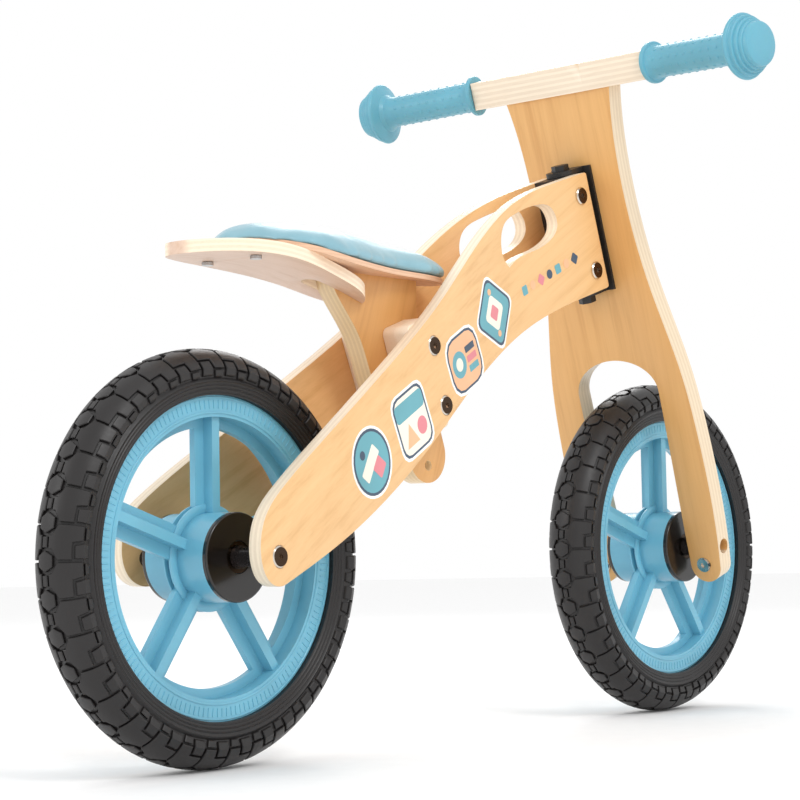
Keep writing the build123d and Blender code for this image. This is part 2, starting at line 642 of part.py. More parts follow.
# ---------------------------------------------------------------------- steering head
def head_block():
    """The moulded block between the panels that the steering pin turns in."""
    with BuildPart() as block:
        with BuildSketch(side_plane(HEAD_INNER)):
            with BuildLine():
                Polyline(head(HEAD_TOP, PANEL_FRONT), head(HEAD_BOTTOM, PANEL_FRONT),
                         head(HEAD_BOTTOM, -BLOCK_BACK), head(HEAD_TOP, -BLOCK_BACK), close=True)
            make_face()
        extrude(amount=2 * HEAD_INNER)
        with BuildSketch(side_plane(HEAD_INNER)):
            with Locations(*HEAD_BOLT_POINTS):
                Circle(SLEEVE_RADIUS)
        extrude(amount=2 * HEAD_INNER, mode=Mode.SUBTRACT)
        with BuildSketch(head_plane(HEAD_BOTTOM)):
            with Locations((-PIVOT_SETBACK, 0)):
                Circle(PIN_RADIUS + PIN_BORE_CLEAR)
        extrude(amount=HEAD_TOP - HEAD_BOTTOM, mode=Mode.SUBTRACT)
        for s in (HEAD_BOTTOM, HEAD_TOP - PIN_BUSH_LENGTH):
            with BuildSketch(head_plane(s)):
                with Locations((-PIVOT_SETBACK, 0)):
                    Circle(PIN_BUSH_RADIUS)
            extrude(amount=PIN_BUSH_LENGTH, mode=Mode.SUBTRACT)
    finish(block, "head_block")


def steering_bushes():
    """Two plain bushes pressed into the ends of the head block."""
    with BuildPart() as bushes:
        for s in (HEAD_BOTTOM, HEAD_TOP - PIN_BUSH_LENGTH):
            with BuildSketch(head_plane(s)):
                with Locations((-PIVOT_SETBACK, 0)):
                    Circle(PIN_BUSH_RADIUS)
                    Circle(PIN_RADIUS + FIT, mode=Mode.SUBTRACT)
            extrude(amount=PIN_BUSH_LENGTH)
    finish(bushes, "steering_bushes")


def steering_bracket():
    """The bent steel bracket on the fork: a back plate with an ear above and below the head."""
    with BuildPart() as bracket:
        with BuildSketch(fork_plane(PLATE_BACK)):
            with Locations((0, (EAR_TOP + EAR_BOTTOM) / 2)):
                Rectangle(2 * PLATE_HALF_WIDTH, EAR_TOP - EAR_BOTTOM)
            with Locations(*BRACKET_SCREW_SPOTS):
                Circle(SCREW_RADIUS, mode=Mode.SUBTRACT)
        extrude(amount=PLATE_THICK)
        for s in (EAR_BOTTOM, HEAD_TOP + GAP):
            with BuildSketch(head_plane(s)):
                with Locations((EAR_HALF_WIDTH - EAR_BACK, 0)):
                    Circle(EAR_HALF_WIDTH)
                with Locations(((PLATE_BACK + EAR_HALF_WIDTH - EAR_BACK) / 2, 0)):
                    Rectangle(EAR_BACK + PLATE_BACK - EAR_HALF_WIDTH, 2 * EAR_HALF_WIDTH)
                with Locations((-PIVOT_SETBACK, 0)):
                    Circle(PIN_RADIUS, mode=Mode.SUBTRACT)
            extrude(amount=EAR_THICK)
    finish(bracket, "steering_bracket")


def bracket_screws():
    """Four pan-head screws that hold the bracket to the fork."""
    with BuildPart() as screws:
        with BuildSketch(fork_plane(PLATE_BACK)):
            with Locations(*BRACKET_SCREW_SPOTS):
                Circle(SCREW_HEAD_RADIUS)
        extrude(amount=-SCREW_HEAD / 2)
        with BuildSketch(fork_plane(PLATE_BACK)):
            with Locations(*BRACKET_SCREW_SPOTS):
                Circle(SCREW_RADIUS)
        extrude(amount=PLATE_THICK + FORK_THICK - SCREW_TIP_COVER)
    finish(screws, "bracket_screws")


def steering_pin():
    """The steering pin: a hexagon-head bolt down through both ears and the head block."""
    with BuildPart() as pin:
        with BuildSketch(head_plane(EAR_TOP)):
            with Locations((-PIVOT_SETBACK, 0)):
                RegularPolygon(PIN_HEX, 6, major_radius=False)
        extrude(amount=PIN_HEAD)
        with BuildSketch(head_plane(EAR_BOTTOM - PIN_TAIL)):
            with Locations((-PIVOT_SETBACK, 0)):
                Circle(PIN_RADIUS)
        extrude(amount=EAR_TOP - EAR_BOTTOM + PIN_TAIL)
    finish(pin, "steering_pin")
    with BuildPart() as nut:
        with BuildSketch(head_plane(EAR_BOTTOM - PIN_NUT)):
            with Locations((-PIVOT_SETBACK, 0)):
                RegularPolygon(PIN_HEX, 6, major_radius=False)
                Circle(PIN_RADIUS, mode=Mode.SUBTRACT)
        extrude(amount=PIN_NUT)
    finish(nut, "steering_pin_nut")


# ------------------------------------------------------------------------------- fork
def fork():
    """The one-piece plywood fork: a broad waisted plate that divides into two legs."""
    foot_half = (FORK_DROPOUT_OUTER - FORK_DROPOUT_INNER) / 2
    foot_y = (FORK_DROPOUT_OUTER + FORK_DROPOUT_INNER) / 2
    with BuildPart() as plate:
        with BuildSketch(fork_plane(FORK_BACK)):
            with BuildLine():
                Line((-FORK_TOP_HALF, FORK_TOP), (FORK_TOP_HALF, FORK_TOP))
                EllipticalCenterArc((0, ARCH_SPRING), FORK_LEG_INNER, ARCH_RISE, start_angle=0, arc_size=180)
                for side in (1, -1):
                    Spline((side * FORK_TOP_HALF, FORK_TOP), (side * FORK_WAIST_HALF, FORK_TOP - 76),
                           (side * (FORK_WAIST_HALF + 8), ARCH_SPRING + 87),
                           (side * (FORK_LEG_HALF - 5), ARCH_SPRING + 19),
                           (side * FORK_LEG_HALF, ARCH_SPRING - 45),
                           (side * FORK_DROPOUT_OUTER, foot_half - LEG_END),
                           tangents=((-side * 0.2, -1), (-side * 0.12, -1)), tangent_scalars=(1, 1))
                    ThreePointArc((side * FORK_DROPOUT_OUTER, foot_half - LEG_END), (side * foot_y, -LEG_END),
                                  (side * FORK_DROPOUT_INNER, foot_half - LEG_END))
                    Spline((side * FORK_DROPOUT_INNER, foot_half - LEG_END),
                           (side * (FORK_DROPOUT_INNER + 0.6), ARCH_SPRING / 4),
                           (side * FORK_LEG_INNER, ARCH_SPRING), tangents=((0, 1), (0, 1)),
                           tangent_scalars=(1, 1))
            make_face()
        extrude(amount=FORK_THICK)
        with BuildSketch(side_plane(0)):
            with Locations((FRONT_X, TYRE_RADIUS)):
                Circle(AXLE_RADIUS)
        extrude(amount=2 * FORK_LEG_HALF, both=True, mode=Mode.SUBTRACT)
        for side in (1, -1):
            pocket_y = side * (FORK_DROPOUT_OUTER - AXLE_POCKET_DEPTH)
            with BuildSketch(side_plane(pocket_y)):
                with Locations((FRONT_X, TYRE_RADIUS)):
                    Circle(AXLE_POCKET_RADIUS)
            extrude(amount=-side * 2 * AXLE_POCKET_DEPTH, mode=Mode.SUBTRACT)
        with BuildSketch(fork_plane(FORK_BACK)):
            with Locations(*LEG_BOLT_SPOTS):
                Circle(SLEEVE_RADIUS)
            with Locations(*BRACKET_SCREW_SPOTS):
                Circle(SCREW_RADIUS)
        extrude(amount=FORK_THICK, mode=Mode.SUBTRACT)
        for y in BAR_SCREW_Y:
            with BuildSketch(head_plane(FORK_TOP)):
                with Locations((0, y)):
                    Circle(BAR_SCREW_RADIUS)
            extrude(amount=-BAR_SCREW_DEPTH, mode=Mode.SUBTRACT)
    finish(plate, "fork")


def leg_bolts():
    """Bolts through each fork leg below the axle, with sleeve nuts on the front face."""
    with BuildPart() as bolts:
        rear_face = fork_plane(FORK_BACK)
        with BuildSketch(rear_face):
            with Locations(*LEG_BOLT_SPOTS):
                Circle(LEG_HEAD_RADIUS)
        extrude(amount=-(HEAD_THICK - HEAD_BEVEL))
        with BuildSketch(fork_plane(FORK_BACK - HEAD_THICK + HEAD_BEVEL)):
            with Locations(*LEG_BOLT_SPOTS):
                Circle(LEG_HEAD_RADIUS - HEAD_BEVEL)
        extrude(amount=-HEAD_BEVEL)
        with BuildSketch(rear_face):
            with Locations(*LEG_BOLT_SPOTS):
                Circle(BOLT_RADIUS)
        extrude(amount=FORK_THICK - SCREW_TIP_COVER)
        with BuildSketch(fork_plane(FORK_BACK - HEAD_THICK)):
            with Locations(*LEG_BOLT_SPOTS):
                RegularPolygon(SOCKET_FLATS / 2, 6, major_radius=False)
        extrude(amount=SOCKET_DEPTH, mode=Mode.SUBTRACT)
    finish(bolts, "leg_bolts")
    with BuildPart() as nuts:
        with BuildSketch(fork_plane(-FORK_BACK)):
            with Locations(*LEG_BOLT_SPOTS):
                Circle(LEG_HEAD_RADIUS)
        extrude(amount=HEAD_THICK)
        with BuildSketch(fork_plane(FORK_BACK + LEG_NUT_SHORT)):
            with Locations(*LEG_BOLT_SPOTS):
                Circle(SLEEVE_RADIUS)
        extrude(amount=FORK_THICK - LEG_NUT_SHORT)
        with BuildSketch(fork_plane(FORK_BACK + LEG_NUT_SHORT)):
            with Locations(*LEG_BOLT_SPOTS):
                Circle(BOLT_RADIUS)
        extrude(amount=FORK_THICK - LEG_NUT_SHORT, mode=Mode.SUBTRACT)
        with BuildSketch(fork_plane(-FORK_BACK + HEAD_THICK)):
            with Locations(*LEG_BOLT_SPOTS):
                RegularPolygon(SOCKET_FLATS / 2, 6, major_radius=False)
        extrude(amount=-SOCKET_DEPTH, mode=Mode.SUBTRACT)
    finish(nuts, "leg_bolt_nuts")


# -------------------------------------------------------------------------- handlebar
def grip_plane(side, out):
    """The plane square to a grip's centre line, out mm beyond the bar's shoulder."""
    sweep = radians(BAR_SWEEP)
    x0, z0 = head(FORK_TOP + BAR_THICK / 2, BAR_FORWARD - out * sin(sweep))
    y0 = side * (BAR_SHOULDER + out * cos(sweep))
    axis = Vector(-sin(sweep) * cos(LEAN), side * cos(sweep), -sin(sweep) * sin(LEAN))
    return Plane((x0, y0, z0), x_dir=(-sin(LEAN), 0, cos(LEAN)), z_dir=tuple(axis))


def handlebar():
    """The plywood bar: deepest over the fork, swept back to a round spigot at each end."""
    half_end = BAR_THICK / 2
    with BuildPart() as bar:
        with BuildSketch(head_plane(FORK_TOP)):
            with BuildLine():
                Spline((BAR_FORWARD - half_end, -BAR_SHOULDER), (-BAR_REAR, 0),
                       (BAR_FORWARD - half_end, BAR_SHOULDER))
                Spline((BAR_FORWARD + half_end, -BAR_SHOULDER), (BAR_FRONT, 0),
                       (BAR_FORWARD + half_end, BAR_SHOULDER))
                for y in (BAR_SHOULDER, -BAR_SHOULDER):
                    Line((BAR_FORWARD - half_end, y), (BAR_FORWARD + half_end, y))
            make_face()
        extrude(amount=BAR_THICK)
        for side in (1, -1):
            with BuildSketch(grip_plane(side, -SPIGOT_ROOT)):
                Circle(SPIGOT_RADIUS)
            extrude(amount=SPIGOT_LENGTH + SPIGOT_ROOT)
        for y in BAR_SCREW_Y:
            with BuildSketch(head_plane(FORK_TOP)):
                with Locations((0, y)):
                    Circle(BAR_SCREW_RADIUS)
            extrude(amount=BAR_THICK, mode=Mode.SUBTRACT)
            with BuildSketch(head_plane(FORK_TOP + BAR_THICK - BAR_SCREW_SINK)):
                with Locations((0, y)):
                    Circle(BAR_SCREW_HEAD_RADIUS)
            extrude(amount=BAR_SCREW_SINK, mode=Mode.SUBTRACT)
    finish(bar, "handlebar")
    with BuildPart() as screws:
        for y in BAR_SCREW_Y:
            with BuildSketch(head_plane(FORK_TOP + BAR_THICK - BAR_SCREW_SINK)):
                with Locations((0, y)):
                    Circle(BAR_SCREW_HEAD_RADIUS)
            extrude(amount=BAR_SCREW_SINK - GAP)
            with BuildSketch(head_plane(FORK_TOP - BAR_SCREW_DEPTH)):
                with Locations((0, y)):
                    Circle(BAR_SCREW_RADIUS)
            extrude(amount=BAR_SCREW_DEPTH + BAR_THICK - BAR_SCREW_SINK)
    finish(screws, "handlebar_screws")


def grip(side, label):
    """A moulded grip: inner flange, barrel and a ringed, domed safety end."""
    start = BAR_THICK / 2 * tan(radians(BAR_SWEEP)) + GAP
    barrel_end = start + GRIP_LENGTH
    ring = GRIP_END / (2 * GRIP_RINGS)
    with BuildPart() as handle:
        with BuildSketch(grip_plane(side, start)):
            Circle(GRIP_FLANGE_RADIUS)
        extrude(amount=GRIP_FLANGE)
        with BuildSketch(grip_plane(side, start)):
            Circle(GRIP_RADIUS)
        extrude(amount=GRIP_LENGTH)
        for i in range(GRIP_RINGS):
            radius = GRIP_END_RADIUS * cos(radians(GRIP_DOME_ANGLE) * i / GRIP_RINGS)
            with BuildSketch(grip_plane(side, barrel_end + 2 * ring * i)):
                Circle(radius)
            extrude(amount=ring)
            with BuildSketch(grip_plane(side, barrel_end + 2 * ring * i)):
                Circle(radius * 0.9)
            extrude(amount=2 * ring)
        with BuildSketch(grip_plane(side, start)):
            Circle(SPIGOT_RADIUS)
        extrude(amount=SPIGOT_LENGTH - start, mode=Mode.SUBTRACT)
    finish(handle, label)


# ----------------------------------------------------------------------------- wheels
def tyre(x, label):
    """A solid foam tyre, keyed to the rim by a groove inside its bore."""
    half = TYRE_WIDTH / 2
    with BuildPart() as ring:
        with BuildSketch(Plane((x, 0, TYRE_RADIUS), x_dir=(0, 1, 0), z_dir=(1, 0, 0))):
            with BuildLine():
                Polyline((-TYRE_LIP_HALF, RIM_SEAT_RADIUS), (-RIM_RIDGE_HALF, RIM_SEAT_RADIUS),
                         (-RIM_RIDGE_HALF, RIM_RIDGE_RADIUS), (RIM_RIDGE_HALF, RIM_RIDGE_RADIUS),
                         (RIM_RIDGE_HALF, RIM_SEAT_RADIUS), (TYRE_LIP_HALF, RIM_SEAT_RADIUS))
                ThreePointArc((-half, TYRE_SHOULDER_RADIUS), (0, TYRE_RADIUS), (half, TYRE_SHOULDER_RADIUS))
                for side in (1, -1):
                    ThreePointArc((side * half, TYRE_SHOULDER_RADIUS),
                                  (side * (half - 0.6), (TYRE_SHOULDER_RADIUS + RIM_SEAT_RADIUS) / 2),
                                  (side * TYRE_LIP_HALF, RIM_SEAT_RADIUS))
            make_face()
        revolve(axis=Axis((x, 0, TYRE_RADIUS), (0, 1, 0)))
    finish(ring, label)


def wheel_plane(x, y):
    """The plane of a wheel at y: local x is +X, local y is +Z."""
    return Plane((x, y, TYRE_RADIUS), x_dir=(1, 0, 0), z_dir=(0, -1, 0))


def rim(x, label):
    """A one-piece moulded rim: tyre seat, five ribbed spokes and a hollow hub barrel."""
    with BuildPart() as wheel:
        with BuildSketch(Plane((x, 0, TYRE_RADIUS), x_dir=(0, 1, 0), z_dir=(1, 0, 0))):
            with BuildLine():
                Polyline((-RIM_SEAT_HALF, RIM_INNER_RADIUS), (-RIM_SEAT_HALF, RIM_SEAT_RADIUS),
                         (-RIM_RIDGE_HALF, RIM_SEAT_RADIUS), (-RIM_RIDGE_HALF, RIM_RIDGE_RADIUS),
                         (RIM_RIDGE_HALF, RIM_RIDGE_RADIUS), (RIM_RIDGE_HALF, RIM_SEAT_RADIUS),
                         (RIM_SEAT_HALF, RIM_SEAT_RADIUS), (RIM_SEAT_HALF, RIM_INNER_RADIUS), close=True)
            make_face()
        revolve(axis=Axis((x, 0, TYRE_RADIUS), (0, 1, 0)))
        with BuildSketch(wheel_plane(x, WEB_HALF)) as web:
            Circle(RIM_INNER_RADIUS + 1)
            Circle(WINDOW_RADIUS, mode=Mode.SUBTRACT)
            with PolarLocations(HUB_RADIUS, SPOKES, start_angle=90):
                with Locations(((RIM_INNER_RADIUS - HUB_RADIUS) / 2, 0)):
                    Rectangle(RIM_INNER_RADIUS - HUB_RADIUS + 8, SPOKE_WIDTH)
            Circle(HUB_RADIUS)
            corners = web.vertices().filter_by(
                lambda v: HUB_RADIUS - 1 < hypot(v.X - x, v.Z - TYRE_RADIUS) < WINDOW_RADIUS + 1)
            fillet(corners, WINDOW_FILLET)
        extrude(amount=2 * WEB_HALF)
        with BuildSketch(wheel_plane(x, RIB_HALF)):
            with PolarLocations(HUB_RADIUS, SPOKES, start_angle=90):
                with Locations(((RIM_INNER_RADIUS - HUB_RADIUS) / 2, 0)):
                    Rectangle(RIM_INNER_RADIUS - HUB_RADIUS + 2, SPOKE_RIB)
        extrude(amount=2 * RIB_HALF)
        with BuildSketch(wheel_plane(x, HUB_HALF)):
            Circle(HUB_RADIUS)
        extrude(amount=2 * HUB_HALF)
        for side in (1, -1):
            with BuildSketch(wheel_plane(x, side * HUB_HALF)):
                Circle(HUB_RADIUS - HUB_WALL)
                Circle(BOSS_RADIUS, mode=Mode.SUBTRACT)
            extrude(amount=side * (HUB_HALF - WEB_HALF), mode=Mode.SUBTRACT)
            with BuildSketch(wheel_plane(x, side * HUB_HALF)):
                Circle(BUSH_RADIUS)
            extrude(amount=side * (BUSH_LENGTH - BUSH_FACE + HUB_HALF), mode=Mode.SUBTRACT)
        with BuildSketch(wheel_plane(x, HUB_HALF)):
            Circle(AXLE_RADIUS + AXLE_BORE_CLEAR)
        extrude(amount=2 * HUB_HALF, mode=Mode.SUBTRACT)
    finish(wheel, label)


def hub_caps(x, label):
    """Two black dust caps that plug into the ends of the hub barrel."""
    with BuildPart() as caps:
        for side in (1, -1):
            with BuildSketch(wheel_plane(x, side * HUB_HALF)):
                Circle(HUB_RADIUS)
                Circle(BUSH_FLANGE_RADIUS + GAP, mode=Mode.SUBTRACT)
            disc = extrude(amount=-side * CAP_THICK)
            rim_edge = disc.edges().filter_by(
                lambda e: abs(abs(e.center().Y) - CAP_FACE) < 0.01 and e.radius > HUB_RADIUS - 0.1)
            fillet(rim_edge, CAP_EDGE)
            with BuildSketch(wheel_plane(x, side * HUB_HALF)):
                Circle(HUB_RADIUS - HUB_WALL)
                Circle(HUB_RADIUS - HUB_WALL - CAP_WALL, mode=Mode.SUBTRACT)
            extrude(amount=side * CAP_PLUG)
    finish(caps, label)


def wheel_bushes(x, label):
    """Two flanged brass bushes pressed into the hub; they turn on the axle."""
    with BuildPart() as bushes:
        for side in (1, -1):
            face = wheel_plane(x, side * BUSH_FACE)
            with BuildSketch(face):
                Circle(BUSH_RADIUS)
            extrude(amount=side * BUSH_LENGTH)
            with BuildSketch(face):
                Circle(BUSH_FLANGE_RADIUS)
            extrude(amount=side * BUSH_FLANGE)
            with BuildSketch(face):
                Circle(AXLE_RADIUS + FIT)
            extrude(amount=side * BUSH_LENGTH, mode=Mode.SUBTRACT)
    finish(bushes, label)


def axle_set(prefix, x, end_y, spacer_y, head_y, head_radius):
    """An axle rod tapped at both ends, its two spacers and the bolts that clamp it."""
    with BuildPart() as rod:
        with BuildSketch(wheel_plane(x, end_y)):
            Circle(AXLE_RADIUS)
        extrude(amount=2 * end_y)
        for side in (1, -1):
            with BuildSketch(wheel_plane(x, side * end_y)):
                Circle(BOLT_RADIUS)
            extrude(amount=side * AXLE_TAP_DEPTH, mode=Mode.SUBTRACT)
    finish(rod, f"{prefix}_axle")
    with BuildPart() as spacers:
        for side in (1, -1):
            inner = BUSH_FACE + GAP
            with BuildSketch(wheel_plane(x, side * inner)):
                Circle(SPACER_RADIUS)
            extrude(amount=-side * (spacer_y + SPACER_STEP - inner))
            with BuildSketch(wheel_plane(x, side * inner)):
                Circle(SPACER_STEP_RADIUS)
            extrude(amount=-side * SPACER_STEP)
            with BuildSketch(wheel_plane(x, side * inner)):
                Circle(AXLE_RADIUS)
            extrude(amount=-side * (spacer_y + SPACER_STEP - inner), mode=Mode.SUBTRACT)
            if prefix == "rear":
                add(panel_cutter(side), mode=Mode.SUBTRACT)
            else:
                with BuildSketch(wheel_plane(x, side * spacer_y)):
                    Circle(2 * SPACER_RADIUS)
                extrude(amount=-side * SPACER_STEP, mode=Mode.SUBTRACT)
    finish(spacers, f"{prefix}_axle_spacers")
    with BuildPart() as bolts:
        for side in (1, -1):
            add(connector_bolt(x, TYRE_RADIUS, side * head_y, side * (end_y - AXLE_BOLT_REACH), side,
                               BOLT_RADIUS, head_radius))
    finish(bolts, f"{prefix}_axle_bolts")


def main():
    """Builds and writes every sub-part."""
    side_panel(1, "left_side_panel")
    side_panel(-1, "right_side_panel")
    seat_post()
    post_spacer(1, "left_post_spacer")
    post_spacer(-1, "right_post_spacer")
    seat_board()
    seat_pad_base()
    seat_pad()
    seat_screws()
    post_faces = [seat_face(x) for x, _ in POST_BOLT_POINTS]
    head_faces = [HEAD_HALF_WIDTH] * len(HEAD_BOLT_POINTS)
    bolt_group("seat_post_bolts", POST_BOLT_POINTS, post_faces, -1, -POST_BOLT_DEPTH)
    sleeve_nut_group("seat_post_nuts", POST_BOLT_POINTS, post_faces, 1, -POST_BOLT_DEPTH)
    bolt_group("head_bolts", HEAD_BOLT_POINTS, head_faces, -1, -HEAD_BOLT_DEPTH)
    sleeve_nut_group("head_bolt_nuts", HEAD_BOLT_POINTS, head_faces, 1, -HEAD_NUT_DEPTH)
    head_block()
    steering_bushes()
    steering_bracket()
    bracket_screws()
    steering_pin()
    fork()
    leg_bolts()
    handlebar()
    grip(1, "left_grip")
    grip(-1, "right_grip")
    rear_seat = seat_face(REAR_X)
    axle_set("rear", REAR_X, rear_seat - AXLE_BORE_CLEAR, inner_half_width(REAR_X), rear_seat, HEAD_RADIUS)
    front_seat = FORK_DROPOUT_OUTER - AXLE_POCKET_DEPTH
    axle_set("front", FRONT_X, front_seat - AXLE_BORE_CLEAR, FORK_DROPOUT_INNER, front_seat,
             AXLE_POCKET_RADIUS - AXLE_BORE_CLEAR)
    for prefix, x in (("rear", REAR_X), ("front", FRONT_X)):
        tyre(x, f"{prefix}_tyre")
        rim(x, f"{prefix}_rim")
        hub_caps(x, f"{prefix}_hub_caps")
        wheel_bushes(x, f"{prefix}_wheel_bushes")


main()
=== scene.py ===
"""Looks of a child's wooden balance bike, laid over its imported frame."""

import json
import logging
import math
from contextlib import contextmanager
from dataclasses import dataclass
from enum import Enum
from typing import Callable, Iterable, Iterator, Sequence

import bmesh
import bpy
import numpy as np
from mathutils import Matrix, Vector

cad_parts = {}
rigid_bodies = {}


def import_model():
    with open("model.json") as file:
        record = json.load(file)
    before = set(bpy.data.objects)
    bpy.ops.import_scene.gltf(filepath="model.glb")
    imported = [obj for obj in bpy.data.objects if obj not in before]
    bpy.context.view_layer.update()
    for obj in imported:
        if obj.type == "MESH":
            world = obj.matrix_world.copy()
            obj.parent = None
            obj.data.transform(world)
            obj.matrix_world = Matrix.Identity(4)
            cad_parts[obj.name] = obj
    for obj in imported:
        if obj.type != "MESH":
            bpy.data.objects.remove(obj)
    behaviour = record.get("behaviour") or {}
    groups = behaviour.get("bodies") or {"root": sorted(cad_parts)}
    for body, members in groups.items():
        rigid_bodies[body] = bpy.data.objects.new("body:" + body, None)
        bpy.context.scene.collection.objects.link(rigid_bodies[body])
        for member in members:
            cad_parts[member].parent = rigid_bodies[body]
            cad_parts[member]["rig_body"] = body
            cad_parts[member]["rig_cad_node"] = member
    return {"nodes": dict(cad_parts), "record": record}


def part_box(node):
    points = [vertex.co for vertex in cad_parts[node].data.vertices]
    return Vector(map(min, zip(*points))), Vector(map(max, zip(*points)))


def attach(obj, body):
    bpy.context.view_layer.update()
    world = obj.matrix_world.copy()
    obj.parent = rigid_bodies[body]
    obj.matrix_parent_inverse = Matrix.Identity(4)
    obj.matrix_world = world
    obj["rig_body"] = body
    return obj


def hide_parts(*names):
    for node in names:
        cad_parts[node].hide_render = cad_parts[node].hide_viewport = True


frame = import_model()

LOG = logging.getLogger("balance_bike")
MM = 0.001
REAR_X, FRONT_X, AXLE_Z = -0.282, 0.282, 0.145
LEAN = math.radians(18.0)
HEAD_DIR = Vector((-math.sin(LEAN), 0.0, math.cos(LEAN)))
AHEAD_DIR = Vector((math.cos(LEAN), 0.0, math.sin(LEAN)))
ALONG, ACROSS, UPWARD = (1.0, 0.0, 0.0), (0.0, 1.0, 0.0), (0.0, 0.0, 1.0)

# The side panels run straight ahead of the bend and splay outward behind it.
PANEL_FACE_Y, BEND_FRONT, BEND_REAR, BEND_RADIUS = 0.022, 0.0916, 0.0353, 0.4
SPLAY_X, SPLAY = 0.06358, 0.13977
# The seat board's arch, whose plies run round this axis.
ARCH_X, ARCH_Z = REAR_X + 0.017, 0.365 - 0.455

Colour = tuple[float, float, float]
Outline = list[tuple[float, float]]
Object = bpy.types.Object
Socket = bpy.types.NodeSocket


class Body(Enum):
    """The moving bodies that pieces ride on."""

    FRAME = "frame"
    STEERING = "steering"
    REAR_WHEEL = "rear_wheel"
    FRONT_WHEEL = "front_wheel"


class Side(Enum):
    """The rider's left and right, as the sign of Y."""

    LEFT = 1
    RIGHT = -1


def shade(r: int, g: int, b: int) -> Colour:
    """Scene-linear colour of a display colour in 0..255."""
    def lin(c: float) -> float:
        """One channel."""
        c /= 255.0
        return c / 12.92 if c <= 0.04045 else ((c + 0.055) / 1.055) ** 2.4
    return lin(r), lin(g), lin(b)


# -------------------- workshop


def rest_selection() -> None:
    """Leaves edit mode and deselects everything."""
    if bpy.context.object is not None and bpy.context.object.mode != "OBJECT":
        bpy.ops.object.mode_set(mode="OBJECT")
    bpy.ops.object.select_all(action="DESELECT")


def take(obj: Object) -> None:
    """Selects one object alone."""
    rest_selection()
    obj.select_set(True)
    bpy.context.view_layer.objects.active = obj


@contextmanager
def editing(obj: Object) -> Iterator[None]:
    """Edit mode on one object, with all of it selected at first."""
    take(obj)
    bpy.ops.object.mode_set(mode="EDIT")
    bpy.ops.mesh.select_all(action="SELECT")
    yield
    bpy.ops.object.mode_set(mode="OBJECT")


def pick(obj: Object, test: Callable[[bmesh.types.BMFace], bool]) -> None:
    """Selects the faces of the edited mesh that pass a test.

    Args:
        obj: The object in edit mode.
        test: Says whether a face is wanted.
    """
    bm = bmesh.from_edit_mesh(obj.data)
    for face in bm.faces:
        face.select_set(False)
    for face in bm.faces:
        if test(face):
            face.select_set(True)
    bm.select_flush_mode()
    bmesh.update_edit_mesh(obj.data)


def outward(obj: Object) -> None:
    """Merges doubles and turns all faces outward."""
    with editing(obj):
        bpy.ops.mesh.remove_doubles(threshold=1e-5)
        bpy.ops.mesh.normals_make_consistent(inside=False)


def modify(obj: Object, kind: str, **settings: object) -> None:
    """Adds a modifier and applies it.

    Args:
        obj: The object.
        kind: The modifier's type.
        **settings: Its settings.
    """
    take(obj)
    mod = obj.modifiers.new(kind.lower(), kind)
    for key, value in settings.items():
        setattr(mod, key, value)
    bpy.ops.object.modifier_apply(modifier=mod.name)


def repeat(obj: Object, count: int, step: Sequence[float]) -> None:
    """Repeats an object in a row, count times in all, a step in metres apart."""
    modify(obj, "ARRAY", count=count, use_relative_offset=False, use_constant_offset=True,
           constant_offset_displace=step)


def repeat_round(count: int) -> None:
    """Repeats the edited selection round the Y axis, count times in all."""
    bpy.ops.mesh.spin(steps=count - 1, dupli=True, angle=math.tau * (count - 1) / count,
                      center=(0, 0, 0), axis=(0, 1, 0))


def slice_mesh(places: Iterable[float], normal: Sequence[float]) -> None:
    """Cuts the edited mesh at places in metres along a normal."""
    for at in places:
        bpy.ops.mesh.select_all(action="SELECT")
        bpy.ops.mesh.bisect(plane_co=[at * part for part in normal], plane_no=normal)


def smooth(obj: Object, angle: float = 35.0) -> None:
    """Smooth shading up to an angle in degrees."""
    take(obj)
    bpy.ops.object.shade_smooth_by_angle(angle=math.radians(angle))


def reshape(obj: Object, rule: Callable[[np.ndarray], np.ndarray]) -> None:
    """Moves every vertex by a rule.

    Args:
        obj: The object.
        rule: Takes the N x 3 places and returns the new ones.
    """
    co = np.zeros(len(obj.data.vertices) * 3)
    obj.data.vertices.foreach_get("co", co)
    obj.data.vertices.foreach_set("co", rule(co.reshape(-1, 3)).reshape(-1))
    obj.data.update()


def seat_in_frame(obj: Object) -> None:
    """Puts the object's place, turn and size into its mesh."""
    obj.data.transform(obj.matrix_basis)
    obj.matrix_basis = Matrix.Identity(4)


def prism(name: str, outline: Outline, low: float, high: float) -> Object:
    """A flat-bottomed block on the XY plane, made from a filled circle.

    Args:
        name: The piece's name.
        outline: Its corners in order, in metres.
        low: The height of its bottom.
        high: The height of its top.

    Returns:
        The new object.
    """
    rest_selection()
    bpy.ops.mesh.primitive_circle_add(vertices=len(outline), radius=0.01, fill_type="NGON")
    obj = bpy.context.object
    obj.name = name
    for vert, (x, y) in zip(obj.data.vertices, outline):
        vert.co = (x, y, low)
    with editing(obj):
        bpy.ops.mesh.extrude_region_move(TRANSFORM_OT_translate={"value": (0, 0, high - low)})
        bpy.ops.mesh.select_all(action="SELECT")
        bpy.ops.mesh.normals_make_consistent(inside=False)
    return obj


def join(parts: Sequence[Object], name: str) -> Object:
    """Joins objects into the first one.

    Args:
        parts: The objects.
        name: The joined piece's name.

    Returns:
        The joined object.
    """
    rest_selection()
    for part in parts:
        part.select_set(True)
    bpy.context.view_layer.objects.active = parts[0]
    if len(parts) > 1:
        bpy.ops.object.join()
    parts[0].name = name
    return parts[0]


